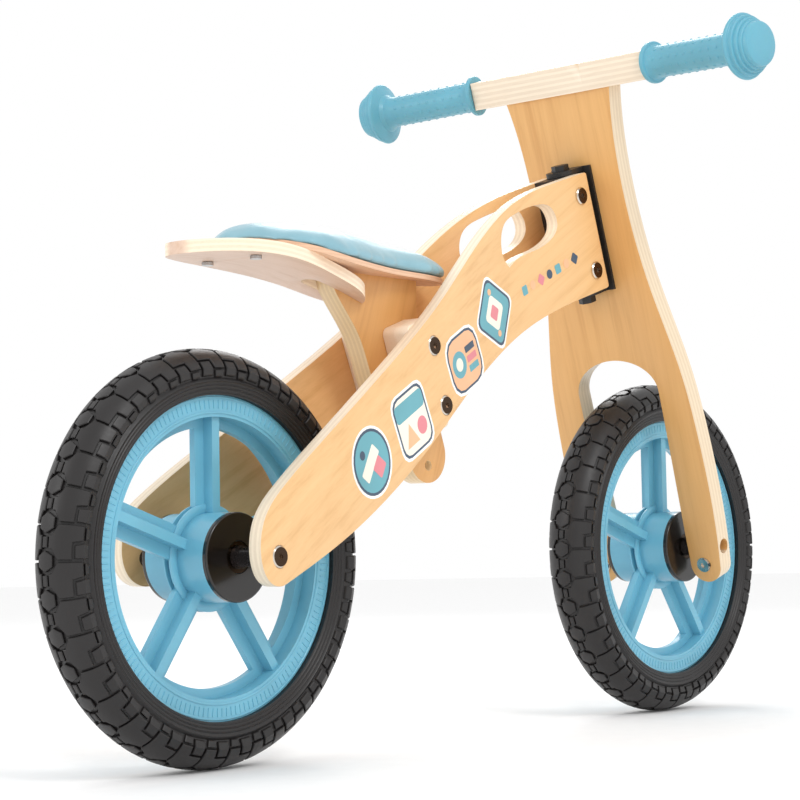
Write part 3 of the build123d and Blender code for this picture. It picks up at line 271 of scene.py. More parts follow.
def turned(name: str, profile: Outline, steps: int) -> Object:
    """A piece turned about the Y axis.

    Args:
        name: The piece's name.
        profile: (radius, along) points in metres, in order round a closed section.
        steps: How many steps go round.

    Returns:
        The new object.
    """
    rest_selection()
    bpy.ops.mesh.primitive_plane_add(size=0.002)
    obj = bpy.context.object
    obj.name = name
    with editing(obj):
        bpy.ops.mesh.merge(type="CENTER")
        bpy.ops.transform.translate(value=(profile[0][0], profile[0][1], 0))
        for (r0, a0), (r1, a1) in zip(profile, [*profile[1:], profile[0]]):
            bpy.ops.mesh.extrude_vertices_move(TRANSFORM_OT_translate={"value": (r1 - r0, a1 - a0, 0)})
        bpy.ops.mesh.select_all(action="SELECT")
        bpy.ops.mesh.remove_doubles(threshold=1e-6)
        bpy.ops.mesh.spin(steps=steps, angle=math.tau, center=(0, 0, 0), axis=(0, 1, 0))
    outward(obj)
    return obj


def arc(r: float, a: float, radius: float, start: float, end: float, count: int) -> Outline:
    """Points on an arc of a turned profile.

    Args:
        r: Radius of the arc's centre from the axis.
        a: Place of the arc's centre along the axis.
        radius: The arc's own radius.
        start: Start angle in degrees, 0 away from the axis and 90 along it.
        end: End angle in degrees.
        count: Number of spans.

    Returns:
        (radius, along) points.
    """
    pts = []
    for i in range(count + 1):
        t = math.radians(start + (end - start) * i / count)
        pts.append((r + radius * math.cos(t), a + radius * math.sin(t)))
    return pts


def finish_piece(obj: Object, body: Body, slot: str, *nodes: str) -> None:
    """Rides a piece on its body and hides the CAD nodes that it stands for.

    Args:
        obj: The piece, with its place in its mesh.
        body: The body it moves with.
        slot: The record's material slot; not used.
        *nodes: The CAD nodes that it replaces.
    """
    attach(obj, body.value)
    if nodes:
        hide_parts(*nodes)
    LOG.info("%s: %d faces, rides on %s", obj.name, len(obj.data.polygons), body.value)


def copy_of_node(node: str, name: str) -> Object:
    """A merged, free copy of a CAD node.

    Args:
        node: The CAD node.
        name: The copy's name.

    Returns:
        The copy, riding on nothing yet.
    """
    source = frame["nodes"][node]
    obj = source.copy()
    obj.data = source.data.copy()
    obj.name = name
    obj.parent = None
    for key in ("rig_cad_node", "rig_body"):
        if key in obj:
            del obj[key]
    bpy.context.scene.collection.objects.link(obj)
    obj.matrix_basis = Matrix.Identity(4)
    with editing(obj):
        bpy.ops.mesh.customdata_custom_splitnormals_clear()
        bpy.ops.mesh.remove_doubles(threshold=2e-6)
        bpy.ops.mesh.dissolve_limited(angle_limit=math.radians(0.4))
    return obj


def ease_edges(obj: Object, width: float, segments: int, spare: Callable[[Vector], bool]) -> None:
    """Rounds over a copy's sharp edges with a bevel of its own weight.

    Args:
        obj: The copy.
        width: The round-over's width in metres.
        segments: Its segments.
        spare: Says whether an edge at this middle point stays sharp.
    """
    with editing(obj):
        bm = bmesh.from_edit_mesh(obj.data)
        weights = bm.edges.layers.float
        layer = weights.get("bevel_weight_edge") or weights.new("bevel_weight_edge")
        for edge in bm.edges:
            wanted = False
            if len(edge.link_faces) == 2 and edge.calc_face_angle(0.0) > math.radians(32):
                middle = (edge.verts[0].co + edge.verts[1].co) / 2
                wanted = not spare(middle)
            edge[layer] = 1.0 if wanted else 0.0
        bmesh.update_edit_mesh(obj.data)
    modify(obj, "BEVEL", width=width, segments=segments, limit_method="WEIGHT",
           use_clamp_overlap=True, miter_outer="MITER_ARC")
    smooth(obj, 34)


def near_bores(points: Outline, radius: float) -> Callable[[Vector], bool]:
    """A test for edges that run round bolt holes bored along Y.

    Args:
        points: (x, z) of each hole in metres.
        radius: How far the test reaches round a hole.

    Returns:
        The test.
    """
    return lambda p: any(math.hypot(p.x - x, p.z - z) < radius for x, z in points)


# -------------------- finishes


class Wiring:
    """Adds and links the nodes of one material."""

    def __init__(self, name: str) -> None:
        """Starts an empty material with its shader and output."""
        self.material = bpy.data.materials.new(name)
        self.material.use_nodes = True
        self.tree = self.material.node_tree
        self.tree.nodes.clear()
        self.output = self.tree.nodes.new("ShaderNodeOutputMaterial")
        self.shader = self.tree.nodes.new("ShaderNodeBsdfPrincipled")
        self.tree.links.new(self.shader.outputs[0], self.output.inputs[0])
        self.coords = self.tree.nodes.new("ShaderNodeTexCoord")

    def node(self, kind: str, **settings: object) -> bpy.types.Node:
        """Adds a node and sets its properties."""
        made = self.tree.nodes.new("ShaderNode" + kind)
        for key, value in settings.items():
            setattr(made, key, value)
        return made

    def feed(self, target: Socket, source: object) -> None:
        """Links a socket, or sets it to a value."""
        if isinstance(source, Socket):
            self.tree.links.new(source, target)
        else:
            target.default_value = source

    def math(self, operation: str, *values: object) -> Socket:
        """A Math node's result."""
        made = self.node("Math", operation=operation)
        for socket, value in zip(made.inputs, values):
            self.feed(socket, value)
        return made.outputs[0]

    def dot(self, vector: Socket, axis: Sequence[float]) -> Socket:
        """A vector's length along an axis."""
        made = self.node("VectorMath", operation="DOT_PRODUCT")
        self.feed(made.inputs[0], vector)
        made.inputs[1].default_value = tuple(axis)
        return made.outputs["Value"]

    def place(self, *parts: object) -> Socket:
        """A vector from three values."""
        made = self.node("CombineXYZ")
        for socket, value in zip(made.inputs, parts):
            self.feed(socket, value)
        return made.outputs[0]

    def noise(self, vector: Socket, scale: float, detail: float = 4.0,
              rough: float = 0.55) -> Socket:
        """A noise texture's factor."""
        made = self.node("TexNoise")
        self.feed(made.inputs["Vector"], vector)
        made.inputs["Scale"].default_value = scale
        made.inputs["Detail"].default_value = detail
        made.inputs["Roughness"].default_value = rough
        return made.outputs["Fac"]

    def ramp(self, factor: Socket, *stops: tuple[float, Colour]) -> Socket:
        """A colour ramp's colour."""
        made = self.node("ValToRGB")
        self.feed(made.inputs[0], factor)
        band = made.color_ramp
        while len(band.elements) < len(stops):
            band.elements.new(0.5)
        for element, (at, colour) in zip(band.elements, stops):
            element.position = at
            element.color = (*colour, 1.0)
        return made.outputs[0]

    def mix(self, factor: object, a: object, b: object) -> Socket:
        """Two colours mixed."""
        made = self.node("Mix", data_type="RGBA")
        self.feed(made.inputs[0], factor)
        for socket, value in ((made.inputs[6], a), (made.inputs[7], b)):
            self.feed(socket, value if isinstance(value, Socket) else (*value, 1.0))
        return made.outputs[2]

    def spread(self, factor: Socket, low: float, high: float) -> Socket:
        """A factor taken from 0..1 to low..high."""
        made = self.node("MapRange")
        self.feed(made.inputs["Value"], factor)
        made.inputs["To Min"].default_value = low
        made.inputs["To Max"].default_value = high
        return made.outputs[0]

    def bump(self, height: Socket, strength: float, distance: float) -> None:
        """Gives the shader a bump from a height."""
        made = self.node("Bump")
        made.inputs["Strength"].default_value = strength
        made.inputs["Distance"].default_value = distance
        self.feed(made.inputs["Height"], height)
        self.feed(self.shader.inputs["Normal"], made.outputs[0])

    def set(self, **values: object) -> None:
        """Sets or links the shader's sockets, named with underscores for spaces."""
        for key, value in values.items():
            socket = self.shader.inputs[key.replace("_", " ")]
            if key == "Base_Color" and not isinstance(value, Socket):
                value = (*value, 1.0)
            self.feed(socket, value)


class Layup(Enum):
    """How a plywood piece's plies lie."""

    SPLAYED = "splayed side panel"
    FLAT = "flat board"
    ARCHED = "arched seat board"


@dataclass(frozen=True)
class Plywood:
    """Varnished birch plywood with plies on its cut edges.

    Attributes:
        name: The finish's name.
        face: Colour of the faces.
        edge: Colour of the cut edges.
        grain: Direction of the grain.
        across: Direction through the thickness.
        centre: Middle of the thickness along that direction, in metres.
        ply: Thickness of a ply in metres.
        layup: How the plies lie.
        coat: Weight of the varnish.
    """

    name: str
    face: Colour
    edge: Colour
    grain: tuple[float, float, float]
    across: tuple[float, float, float] = ACROSS
    centre: float = 0.0
    ply: float = 2.2 * MM
    layup: Layup = Layup.FLAT
    coat: float = 0.25

    def depth(self, w: Wiring) -> Socket:
        """Place through the thickness."""
        where = w.coords.outputs["Object"]
        if self.layup is Layup.FLAT:
            return w.math("SUBTRACT", w.dot(where, self.across), self.centre)
        parts = w.node("SeparateXYZ")
        w.feed(parts.inputs[0], where)
        x, y, z = parts.outputs
        if self.layup is Layup.SPLAYED:
            reach = w.math("MULTIPLY", w.math("SUBTRACT", SPLAY_X, x), SPLAY)
            return w.math("SUBTRACT", w.math("ABSOLUTE", y), w.math("SMOOTH_MAX", reach, 0.0, 0.0059))
        rise, run = w.math("SUBTRACT", z, ARCH_Z), w.math("SUBTRACT", x, ARCH_X)
        return w.math("SQRT", w.math("ADD", w.math("MULTIPLY", rise, rise), w.math("MULTIPLY", run, run)))

    def make(self) -> bpy.types.Material:
        """Builds the material."""
        w = Wiring(self.name)
        where = w.coords.outputs["Object"]
        grain = Vector(self.grain).normalized()
        across = Vector(self.across).normalized()
        third = grain.cross(across).normalized()
        along, wide, deep = w.dot(where, grain), w.dot(where, third), w.dot(where, across)

        def stretched(length: float, width: float) -> Socket:
            """Coordinates drawn out along the grain."""
            return w.place(w.math("MULTIPLY", along, length), w.math("MULTIPLY", wide, width),
                           w.math("MULTIPLY", deep, width))

        streak = w.noise(stretched(3.2, 70.0), 2.0, 6.0, 0.62)
        cloud = w.noise(stretched(1.6, 16.0), 2.3, 3.0)
        pores = w.noise(stretched(14.0, 420.0), 2.0, 3.0, 0.6)
        dark = tuple(c * k for c, k in zip(self.face, (0.86, 0.79, 0.70)))
        pale = tuple(min(1.0, c * k) for c, k in zip(self.face, (1.07, 1.10, 1.16)))
        face = w.ramp(streak, (0.30, dark), (0.47, self.face), (0.70, pale))
        face = w.mix(w.spread(cloud, 0.0, 0.45), face, w.mix(0.25, self.face, dark))
        face = w.mix(w.spread(pores, -0.35, 0.40), face, dark)
        plies = w.math("SINE", w.math("MULTIPLY", self.depth(w), math.pi / self.ply))
        band = w.spread(w.math("ADD", plies, w.spread(streak, -0.5, 0.5)), 0.5, 1.0)
        low = tuple(c * k for c, k in zip(self.edge, (0.70, 0.60, 0.50)))
        high = tuple(min(1.0, c * 1.04) for c in self.edge)
        edge = w.ramp(band, (0.30, low), (0.55, self.edge), (0.95, high))
        edge = w.mix(w.spread(pores, -0.5, 0.45), edge, low)
        facing = w.math("ABSOLUTE", w.dot(w.coords.outputs["Normal"], across))
        if self.layup is Layup.ARCHED:
            facing = w.math("SUBTRACT", 1.0, w.math("ABSOLUTE", w.dot(w.coords.outputs["Normal"], ACROSS)))
        cut = w.node("MapRange", interpolation_type="SMOOTHSTEP")
        w.feed(cut.inputs["Value"], facing)
        cut.inputs["From Min"].default_value, cut.inputs["From Max"].default_value = 0.45, 0.80
        cut.inputs["To Min"].default_value, cut.inputs["To Max"].default_value = 1.0, 0.0
        w.set(Base_Color=w.mix(cut.outputs[0], face, edge), Roughness=w.spread(pores, 0.34, 0.52),
              Coat_Weight=self.coat, Coat_Roughness=0.28)
        w.bump(w.math("ADD", pores, w.math("MULTIPLY", streak, 0.6)), 0.16, 0.0004)
        return w.material


@dataclass(frozen=True)
class Moulded:
    """Moulded plastic or rubber with a fine skin.

    Attributes:
        name: The finish's name.
        colour: Its colour.
        rough: Its roughness.
        skin: Scale of the skin's grain.
        depth: Strength of the skin's bump.
        coat: Weight of a gloss coat.
        glow: Weight of subsurface light.
    """

    name: str
    colour: Colour
    rough: float
    skin: float = 900.0
    depth: float = 0.12
    coat: float = 0.0
    glow: float = 0.0

    def make(self) -> bpy.types.Material:
        """Builds the material."""
        w = Wiring(self.name)
        where = w.coords.outputs["Object"]
        skin, cloud = w.noise(where, self.skin, 3.0), w.noise(where, 14.0, 3.0)
        darker = tuple(c * 0.90 for c in self.colour)
        lighter = tuple(min(1.0, c * 1.07) for c in self.colour)
        w.set(Base_Color=w.ramp(cloud, (0.32, darker), (0.5, self.colour), (0.68, lighter)),
              Roughness=w.spread(skin, max(0.05, self.rough - 0.08), self.rough + 0.08),
              Coat_Weight=self.coat, Coat_Roughness=0.12)
        if self.glow:
            w.set(Subsurface_Weight=self.glow, Subsurface_Scale=0.002)
        w.bump(skin, self.depth, 0.0002)
        return w.material


@dataclass(frozen=True)
class Vinyl:
    """Soft upholstery vinyl with a pebbled grain and small creases.

    Attributes:
        name: The finish's name.
        colour: Its colour.
        low: Its colour in the darker clouds.
    """

    name: str
    colour: Colour
    low: Colour

    def make(self) -> bpy.types.Material:
        """Builds the material."""
        w = Wiring(self.name)
        where = w.coords.outputs["Object"]
        cells = w.node("TexVoronoi", feature="SMOOTH_F1")
        w.feed(cells.inputs["Vector"], where)
        cells.inputs["Scale"].default_value = 1100.0
        crease = w.node("Mapping")
        w.feed(crease.inputs["Vector"], where)
        crease.inputs["Scale"].default_value = (14.0, 40.0, 60.0)
        folds = w.noise(crease.outputs[0], 1.0, 4.0)
        cloud = w.noise(where, 22.0, 3.0)
        w.set(Base_Color=w.ramp(cloud, (0.30, self.low), (0.62, self.colour)),
              Roughness=w.spread(cells.outputs["Distance"], 0.30, 0.46), Sheen_Weight=0.12,
              Coat_Weight=0.15, Coat_Roughness=0.30)
        w.bump(w.math("ADD", w.math("MULTIPLY", cells.outputs["Distance"], 0.35), folds), 0.22, 0.0007)
        return w.material


@dataclass(frozen=True)
class Plated:
    """Plated or turned metal with fine wear in its roughness, and a painted dark reflection on its side faces
    where given.

    Attributes:
        name: The finish's name.
        colour: Its colour.
        rough: Its roughness.
        flat: Colour of a painted dark reflection on the faces turned to the side, where given.
    """

    name: str
    colour: Colour
    rough: float
    flat: Colour | None = None

    def make(self) -> bpy.types.Material:
        """Builds the material."""
        w = Wiring(self.name)
        where = w.coords.outputs["Object"]
        wear, fine = w.noise(where, 260.0, 4.0), w.noise(where, 1500.0, 2.0)
        dull = tuple(c * 0.82 for c in self.colour)
        base = w.ramp(wear, (0.35, dull), (0.6, self.colour))
        # Faces turned to the side get the flat colour: a painted dark reflection, not a change in the metal.
        if self.flat is not None:
            facing = w.math("ABSOLUTE", w.dot(w.coords.outputs["Normal"], ACROSS))
            base = w.mix(w.math("GREATER_THAN", facing, 0.965), base, self.flat)
        w.set(Base_Color=base, Metallic=1.0,
              Roughness=w.spread(wear, self.rough * 0.75, self.rough * 1.4))
        w.bump(fine, 0.05, 0.0001)
        return w.material


BIRCH = shade(236, 190, 132)
EDGE = shade(250, 232, 206)
GRAIN_PANEL = (math.cos(math.radians(30.77)), 0.0, math.sin(math.radians(30.77)))

FINISHES = {
    "panel_ply": Plywood("birch side panel", BIRCH, EDGE, GRAIN_PANEL, centre=0.0165,
                         layup=Layup.SPLAYED, ply=2.2 * MM),
    "fork_ply": Plywood("birch fork", shade(224, 172, 106), shade(232, 212, 182), tuple(HEAD_DIR),
                        tuple(AHEAD_DIR), ply=2.25 * MM),
    "post_ply": Plywood("birch seat post", shade(216, 162, 98), shade(232, 206, 164),
                        (0.336, 0.0, 0.942), ply=2.0 * MM),
    "bar_ply": Plywood("birch bar", shade(236, 205, 165), shade(238, 222, 200), ACROSS,
                       tuple(HEAD_DIR), ply=2.4 * MM),
    "board_ply": Plywood("birch seat board", shade(222, 192, 170), shade(252, 232, 206), ALONG,
                         UPWARD, layup=Layup.ARCHED, ply=1.8 * MM, coat=0.1),
    "tray_ply": Plywood("thin tray", shade(232, 190, 158), shade(232, 190, 158), ALONG, UPWARD,
                        ply=1.3 * MM, coat=0.0),
    "block_wood": Plywood("pale spacer block", shade(250, 226, 194), shade(253, 234, 211),
                          (1.0, 0.0, 0.3), ply=20 * MM),
    "pad_vinyl": Vinyl("seat vinyl", shade(138, 184, 198), shade(122, 168, 182)),
    "tyre_foam": Moulded("foam tyre", shade(27, 24, 24), 0.42, 420.0, 0.22),
    "rim_plastic": Moulded("pale blue rim", shade(112, 180, 204), 0.34, 1200.0, 0.05, 0.15, 0.05),
    "cap_plastic": Moulded("black cap", shade(22, 18, 16), 0.22, 1200.0, 0.03, 0.3),
    "spacer_plastic": Moulded("black spacer", shade(34, 30, 30), 0.26, 1200.0, 0.03, 0.2),
    "block_plastic": Moulded("black block", shade(44, 42, 42), 0.42),
    # The brass's second colour is a painted dark reflection on its side faces.
    "bush_brass": Plated("turned brass", shade(214, 186, 140), 0.24, shade(62, 50, 40)),
    "grip_rubber": Moulded("pale blue grip", shade(100, 168, 188), 0.40, 1100.0, 0.10, 0.05, 0.08),
    # The nickel's second colour is a painted dark reflection on the bolt heads' side faces.
    "bolt_nickel": Plated("nickel plate", shade(222, 212, 200), 0.16, shade(74, 58, 46)),
    "screw_steel": Plated("zinc plate", shade(190, 190, 190), 0.32),
    "axle_steel": Plated("turned steel", shade(180, 180, 180), 0.35),
    "bracket_steel": Moulded("black powder coat", shade(34, 33, 33), 0.42, 1600.0, 0.30),
}


class Paint:
    """Makes each finish once and lays it on pieces."""

    def __init__(self) -> None:
        """Starts with nothing made."""
        self.made: dict[str, bpy.types.Material] = {}

    def of(self, slot: str) -> bpy.types.Material:
        """The material of a slot."""
        if slot not in self.made:
            self.made[slot] = FINISHES[slot].make()
        return self.made[slot]

    def lay(self, obj: Object, slot: str) -> None:
        """Lays a slot's finish all over an object."""
        if not obj.data.materials:
            obj.data.materials.append(None)
        for at in range(len(obj.material_slots)):
            obj.material_slots[at].link = "OBJECT" if "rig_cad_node" in obj else "DATA"
            obj.material_slots[at].material = self.of(slot)

    def hand_over(self, obj: Object, body: Body, slot: str, *nodes: str) -> None:
        """Lays a finish on a piece, rides it and hides the nodes that it stands for."""
        self.lay(obj, slot)
        finish_piece(obj, body, slot, *nodes)

    def dress_frame(self) -> None:
        """Gives every CAD node its slot's finish."""
        for part in frame["record"]["subparts"]:
            self.lay(frame["nodes"][part["node"]], part["material_slot"])


# -------------------- timber


@dataclass
class Timber:
    """The plywood pieces, with their edges rounded over.

    Attributes:
        round_over: Width of the panels' round-over.
        light_round: Width on the smaller pieces.
        segments: Segments of a round-over.
        bore_reach: How far from a bolt's axis an edge is its hole's.
        post_reach: The same on the seat post.
        screw_y: Centre plane to the bar's outer screws.
        leg_bolt_y: Centre plane to the bores in the fork's legs.
    """

    round_over: float = 1.8 * MM
    light_round: float = 1.1 * MM
    segments: int = 3
    bore_reach: float = 9.0 * MM
    post_reach: float = 6.0 * MM
    screw_y: float = 16.0 * MM
    leg_bolt_y: float = 53.0 * MM

    def bores(self, *nodes: str) -> Outline:
        """Centres in XZ of the bolt heads in some nodes."""
        spots: Outline = []
        for node in nodes:
            obj = frame["nodes"][node]
            centres: list[list[Vector]] = []
            for vert in obj.data.vertices:
                for group in centres:
                    if (Vector((vert.co.x, vert.co.z)) - Vector((group[0].x, group[0].z))).length < 17 * MM:
                        group.append(vert.co)
                        break
                else:
                    centres.append([vert.co])
            for group in centres:
                xs, zs = [v.x for v in group], [v.z for v in group]
                spots.append(((min(xs) + max(xs)) / 2, (min(zs) + max(zs)) / 2))
        return spots

    def build(self, paint: Paint) -> None:
        """Builds every rounded piece."""
        holes = self.bores("head_bolts", "seat_post_bolts", "rear_axle_bolts")
        bolted, close = near_bores(holes, self.bore_reach), near_bores(holes, self.post_reach)
        frame_body, steering = Body.FRAME, Body.STEERING
        for node, body, slot, width, spare in (
            ("left_side_panel", frame_body, "panel_ply", self.round_over, bolted),
            ("right_side_panel", frame_body, "panel_ply", self.round_over, bolted),
            ("seat_post", frame_body, "post_ply", self.light_round, close),
            ("left_post_spacer", frame_body, "block_wood", self.light_round, bolted),
            ("right_post_spacer", frame_body, "block_wood", self.light_round, bolted),
            ("seat_board", frame_body, "board_ply", self.light_round, lambda p: False),
            ("fork", steering, "fork_ply", self.round_over, self.fork_bore),
            ("handlebar", steering, "bar_ply", self.round_over, self.bar_bore),
        ):
            obj = copy_of_node(node, node + "_eased")
            ease_edges(obj, width, self.segments, spare)
            paint.hand_over(obj, body, slot, node)

    def fork_bore(self, p: Vector) -> bool:
        """Whether a fork edge belongs to a bore or a pocket."""
        rel = p - Vector((FRONT_X, 0.0, AXLE_Z))
        up, ahead, wide = rel.dot(HEAD_DIR), rel.dot(AHEAD_DIR), abs(p.y)
        axle = math.hypot(rel.x, rel.z) < 8 * MM
        bolt = -0.02 < up < 0.045 and abs(wide - self.leg_bolt_y) < 8 * MM and wide < 0.061
        screw = up > 0.40 and abs(wide - self.screw_y) < 5 * MM and abs(ahead) < 5 * MM
        bracket = wide < 0.0125 and 0.24 < up < 0.345
        return axle or bolt or screw or bracket

    def bar_bore(self, p: Vector) -> bool:
        """Whether a bar edge belongs to a screw's bore or a spigot."""
        return abs(abs(p.y) - self.screw_y) < 6.5 * MM or abs(p.y) > 0.0885


# -------------------- wheels


@dataclass
class Wheel:
    """A foam tyre with block tread, and the moulded detail of its rim.

    Attributes:
        prefix: "rear" or "front".
        body: The wheel's body.
        x: Place of the axle.
        radius: Radius over the tread.
        crown_radius: Radius of the tread's section.
        crown_centre: Radius of that section's centre.
        pitches: Tread patterns round the tyre.
        shoulder: Distance along the surface from the crown to the tread's straight sides.
        groove: Depth of the grooves.
        gap: Half the width of a fine groove.
        ticks: Fine ribs round each rim flange.
    """

    prefix: str
    body: Body
    x: float
    radius: float = 145.0 * MM
    crown_radius: float = 23.63 * MM
    crown_centre: float = 121.37 * MM
    pitches: int = 36
    shoulder: float = 28.3 * MM
    groove: float = 2.2 * MM
    gap: float = 0.8 * MM
    ticks: int = 150

    def on_axle(self, obj: Object) -> Object:
        """Moves a piece made about the origin to the axle."""
        obj.data.transform(Matrix.Translation((self.x, 0, AXLE_Z)))
        return obj

    @property
    def pitch(self) -> float:
        """Length of a tread pattern round the crown."""
        return math.tau * self.radius / self.pitches

    def section(self, v: np.ndarray, h: np.ndarray) -> tuple[np.ndarray, np.ndarray]:
        """Radius and place along the axle of a point on the tyre's section.

        Args:
            v: Distance from the crown along the surface.
            h: Height over the surface.

        Returns:
            Radius and axial place.
        """
        side, run = np.sign(v), np.abs(v)
        turn = np.minimum(run, self.shoulder) / self.crown_radius
        r = self.crown_centre + (self.crown_radius + h) * np.cos(turn)
        y = (self.crown_radius + h) * np.sin(turn)
        past = np.maximum(run - self.shoulder, 0.0)
        return r - past * 0.976, side * (y - past * 0.217)

    def blocks(self) -> list[Outline]:
        """Outlines of one pattern's blocks, (round, across) in metres."""
        p, g = 25.3, self.gap / MM
        half = [
            [(g, 10), (8, 5.8), (8, 3.4), (17.3, 3.4), (17.3, 5.8), (p - g, 10), (p - g, 27.4),
             (14, 27.4), (12.5, 20.2), (g, 20.2)],
            [(1.5, 22.0), (10.8, 22.0), (12.0, 28.5), (12.0, 33.0), (1.5, 33.0)],
            [(14.5, 29.3), (23.5, 29.3), (22.5, 34.0), (15.5, 34.0)],
        ]
        bar = [(9.2, 2.2), (9.2, -2.2), (16.1, -2.2), (16.1, 2.2)]
        crown = [(-7.0, 0.0), (-3.6, -6.6), (3.6, -6.6), (7.0, 0.0), (3.6, 6.6), (-3.6, 6.6)]
        whole = [o for outline in half for o in (outline, [(u, -v) for u, v in outline[::-1]])]
        return [[(u * MM, v * MM) for u, v in outline] for outline in (*whole, bar, crown)]

    def tread(self) -> Object:
        """The tread, modelled flat as one pattern, repeated and wrapped."""
        parts = [prism(f"{self.prefix}_block", o, -self.groove - 0.6 * MM, 0.0) for o in self.blocks()]
        obj = join(parts, f"{self.prefix}_tread")
        with editing(obj):
            pick(obj, lambda f: f.normal.z > 0.9)
            bpy.ops.mesh.bevel(offset=0.5 * MM, segments=1, affect="EDGES")
            slice_mesh([at * MM for at in range(-32, 33, 4)], ACROSS)
            slice_mesh([at * MM for at in (0.0, 6.3, 12.65, 19.0)], ALONG)
        repeat(obj, self.pitches, (self.pitch, 0, 0))

        def wrap(co: np.ndarray) -> np.ndarray:
            """Wraps the flat strip round the tyre."""
            theta = co[:, 0] / self.radius
            r, y = self.section(co[:, 1], co[:, 2])
            return np.stack([self.x + r * np.sin(theta), y, AXLE_Z + r * np.cos(theta)], 1)

        reshape(obj, wrap)
        with editing(obj):
            bpy.ops.mesh.normals_make_consistent(inside=False)
        return obj

    def carcass(self) -> Object:
        """The tyre under its tread, turned from its section."""
        runs = np.linspace(0.0, self.shoulder, 14)
        r, y = self.section(runs, np.full(14, -self.groove))
        crown = list(zip(r.tolist(), y.tolist()))
        wall = [(129.2, 20.2), (124.0, 19.0), (123.0, 19.6), (122.4, 20.3), (121.6, 20.75), (120.8, 20.0),
                (119.6, 19.7), (118.9, 20.15), (118.2, 19.4), (117.0, 19.1), (116.3, 19.55), (115.6, 18.8),
                (114.4, 18.55), (113.7, 18.9), (113.0, 18.2), (112.0, 18.0)]
        half = crown + [(a * MM, b * MM) for a, b in wall]
        bed = [(112 * MM, 6 * MM), (117 * MM, 6 * MM), (117 * MM, -6 * MM), (112 * MM, -6 * MM)]
        other = [(a, -b) for a, b in half[::-1]][:-1]
        return self.on_axle(turned(f"{self.prefix}_carcass", half + bed + other, 144))

    def rim_ticks(self) -> Object:
        """Fine ribs round both faces of the rim's flange."""
        w, t = 0.55 * MM, 0.55 * MM
        inner, outer = 102.6 * MM, 108.8 * MM
        outline = [(-w, inner), (w, inner), (w, outer), (-w, outer)]
        one = prism(f"{self.prefix}_rim_ticks", outline, -0.2 * MM, t)
        with editing(one):
            pick(one, lambda f: f.normal.z > 0.9)
            bpy.ops.transform.resize(value=(0.5, 0.94, 1.0))
        face = Matrix(((1, 0, 0, 0), (0, 0, 1, 14.0 * MM), (0, 1, 0, 0), (0, 0, 0, 1)))
        one.data.transform(face)
        back = one.copy()
        back.data = one.data.copy()
        bpy.context.scene.collection.objects.link(back)
        back.data.transform(Matrix.Diagonal((1, -1, 1, 1)))
        obj = join([one, back], f"{self.prefix}_rim_ticks")
        with editing(obj):
            bpy.ops.mesh.normals_make_consistent(inside=False)
            repeat_round(self.ticks)
        return self.on_axle(obj)

    def rim_beads(self) -> Object:
        """Raised beads round the hub and inside the rim, on both faces of the web."""
        rings = []
        for r, w, y, h in ((34.0, 3.4, 2.5, 1.7), (100.0, 0.9, 14.0, 0.7), (110.5, 0.7, 14.0, 0.6)):
            section = [(-w, -0.4), (-w, h * 0.5), (-w * 0.5, h), (w * 0.5, h), (w, h * 0.5), (w, -0.4)]
            for side in (1, -1):
                profile = [((r + out) * MM, side * (y + up) * MM) for out, up in section]
                rings.append(turned(f"{self.prefix}_bead", profile, 96))
        return self.on_axle(join(rings, f"{self.prefix}_rim_beads"))

    def build(self, paint: Paint) -> None:
        """Builds the tyre and the rim's detail."""
        tyre = join([self.carcass(), self.tread()], f"{self.prefix}_treaded_tyre")
        smooth(tyre, 30)
        paint.hand_over(tyre, self.body, "tyre_foam", f"{self.prefix}_tyre")
        for obj in (self.rim_ticks(), self.rim_beads()):
            smooth(obj, 40)
            paint.hand_over(obj, self.body, "rim_plastic")


# -------------------- grips


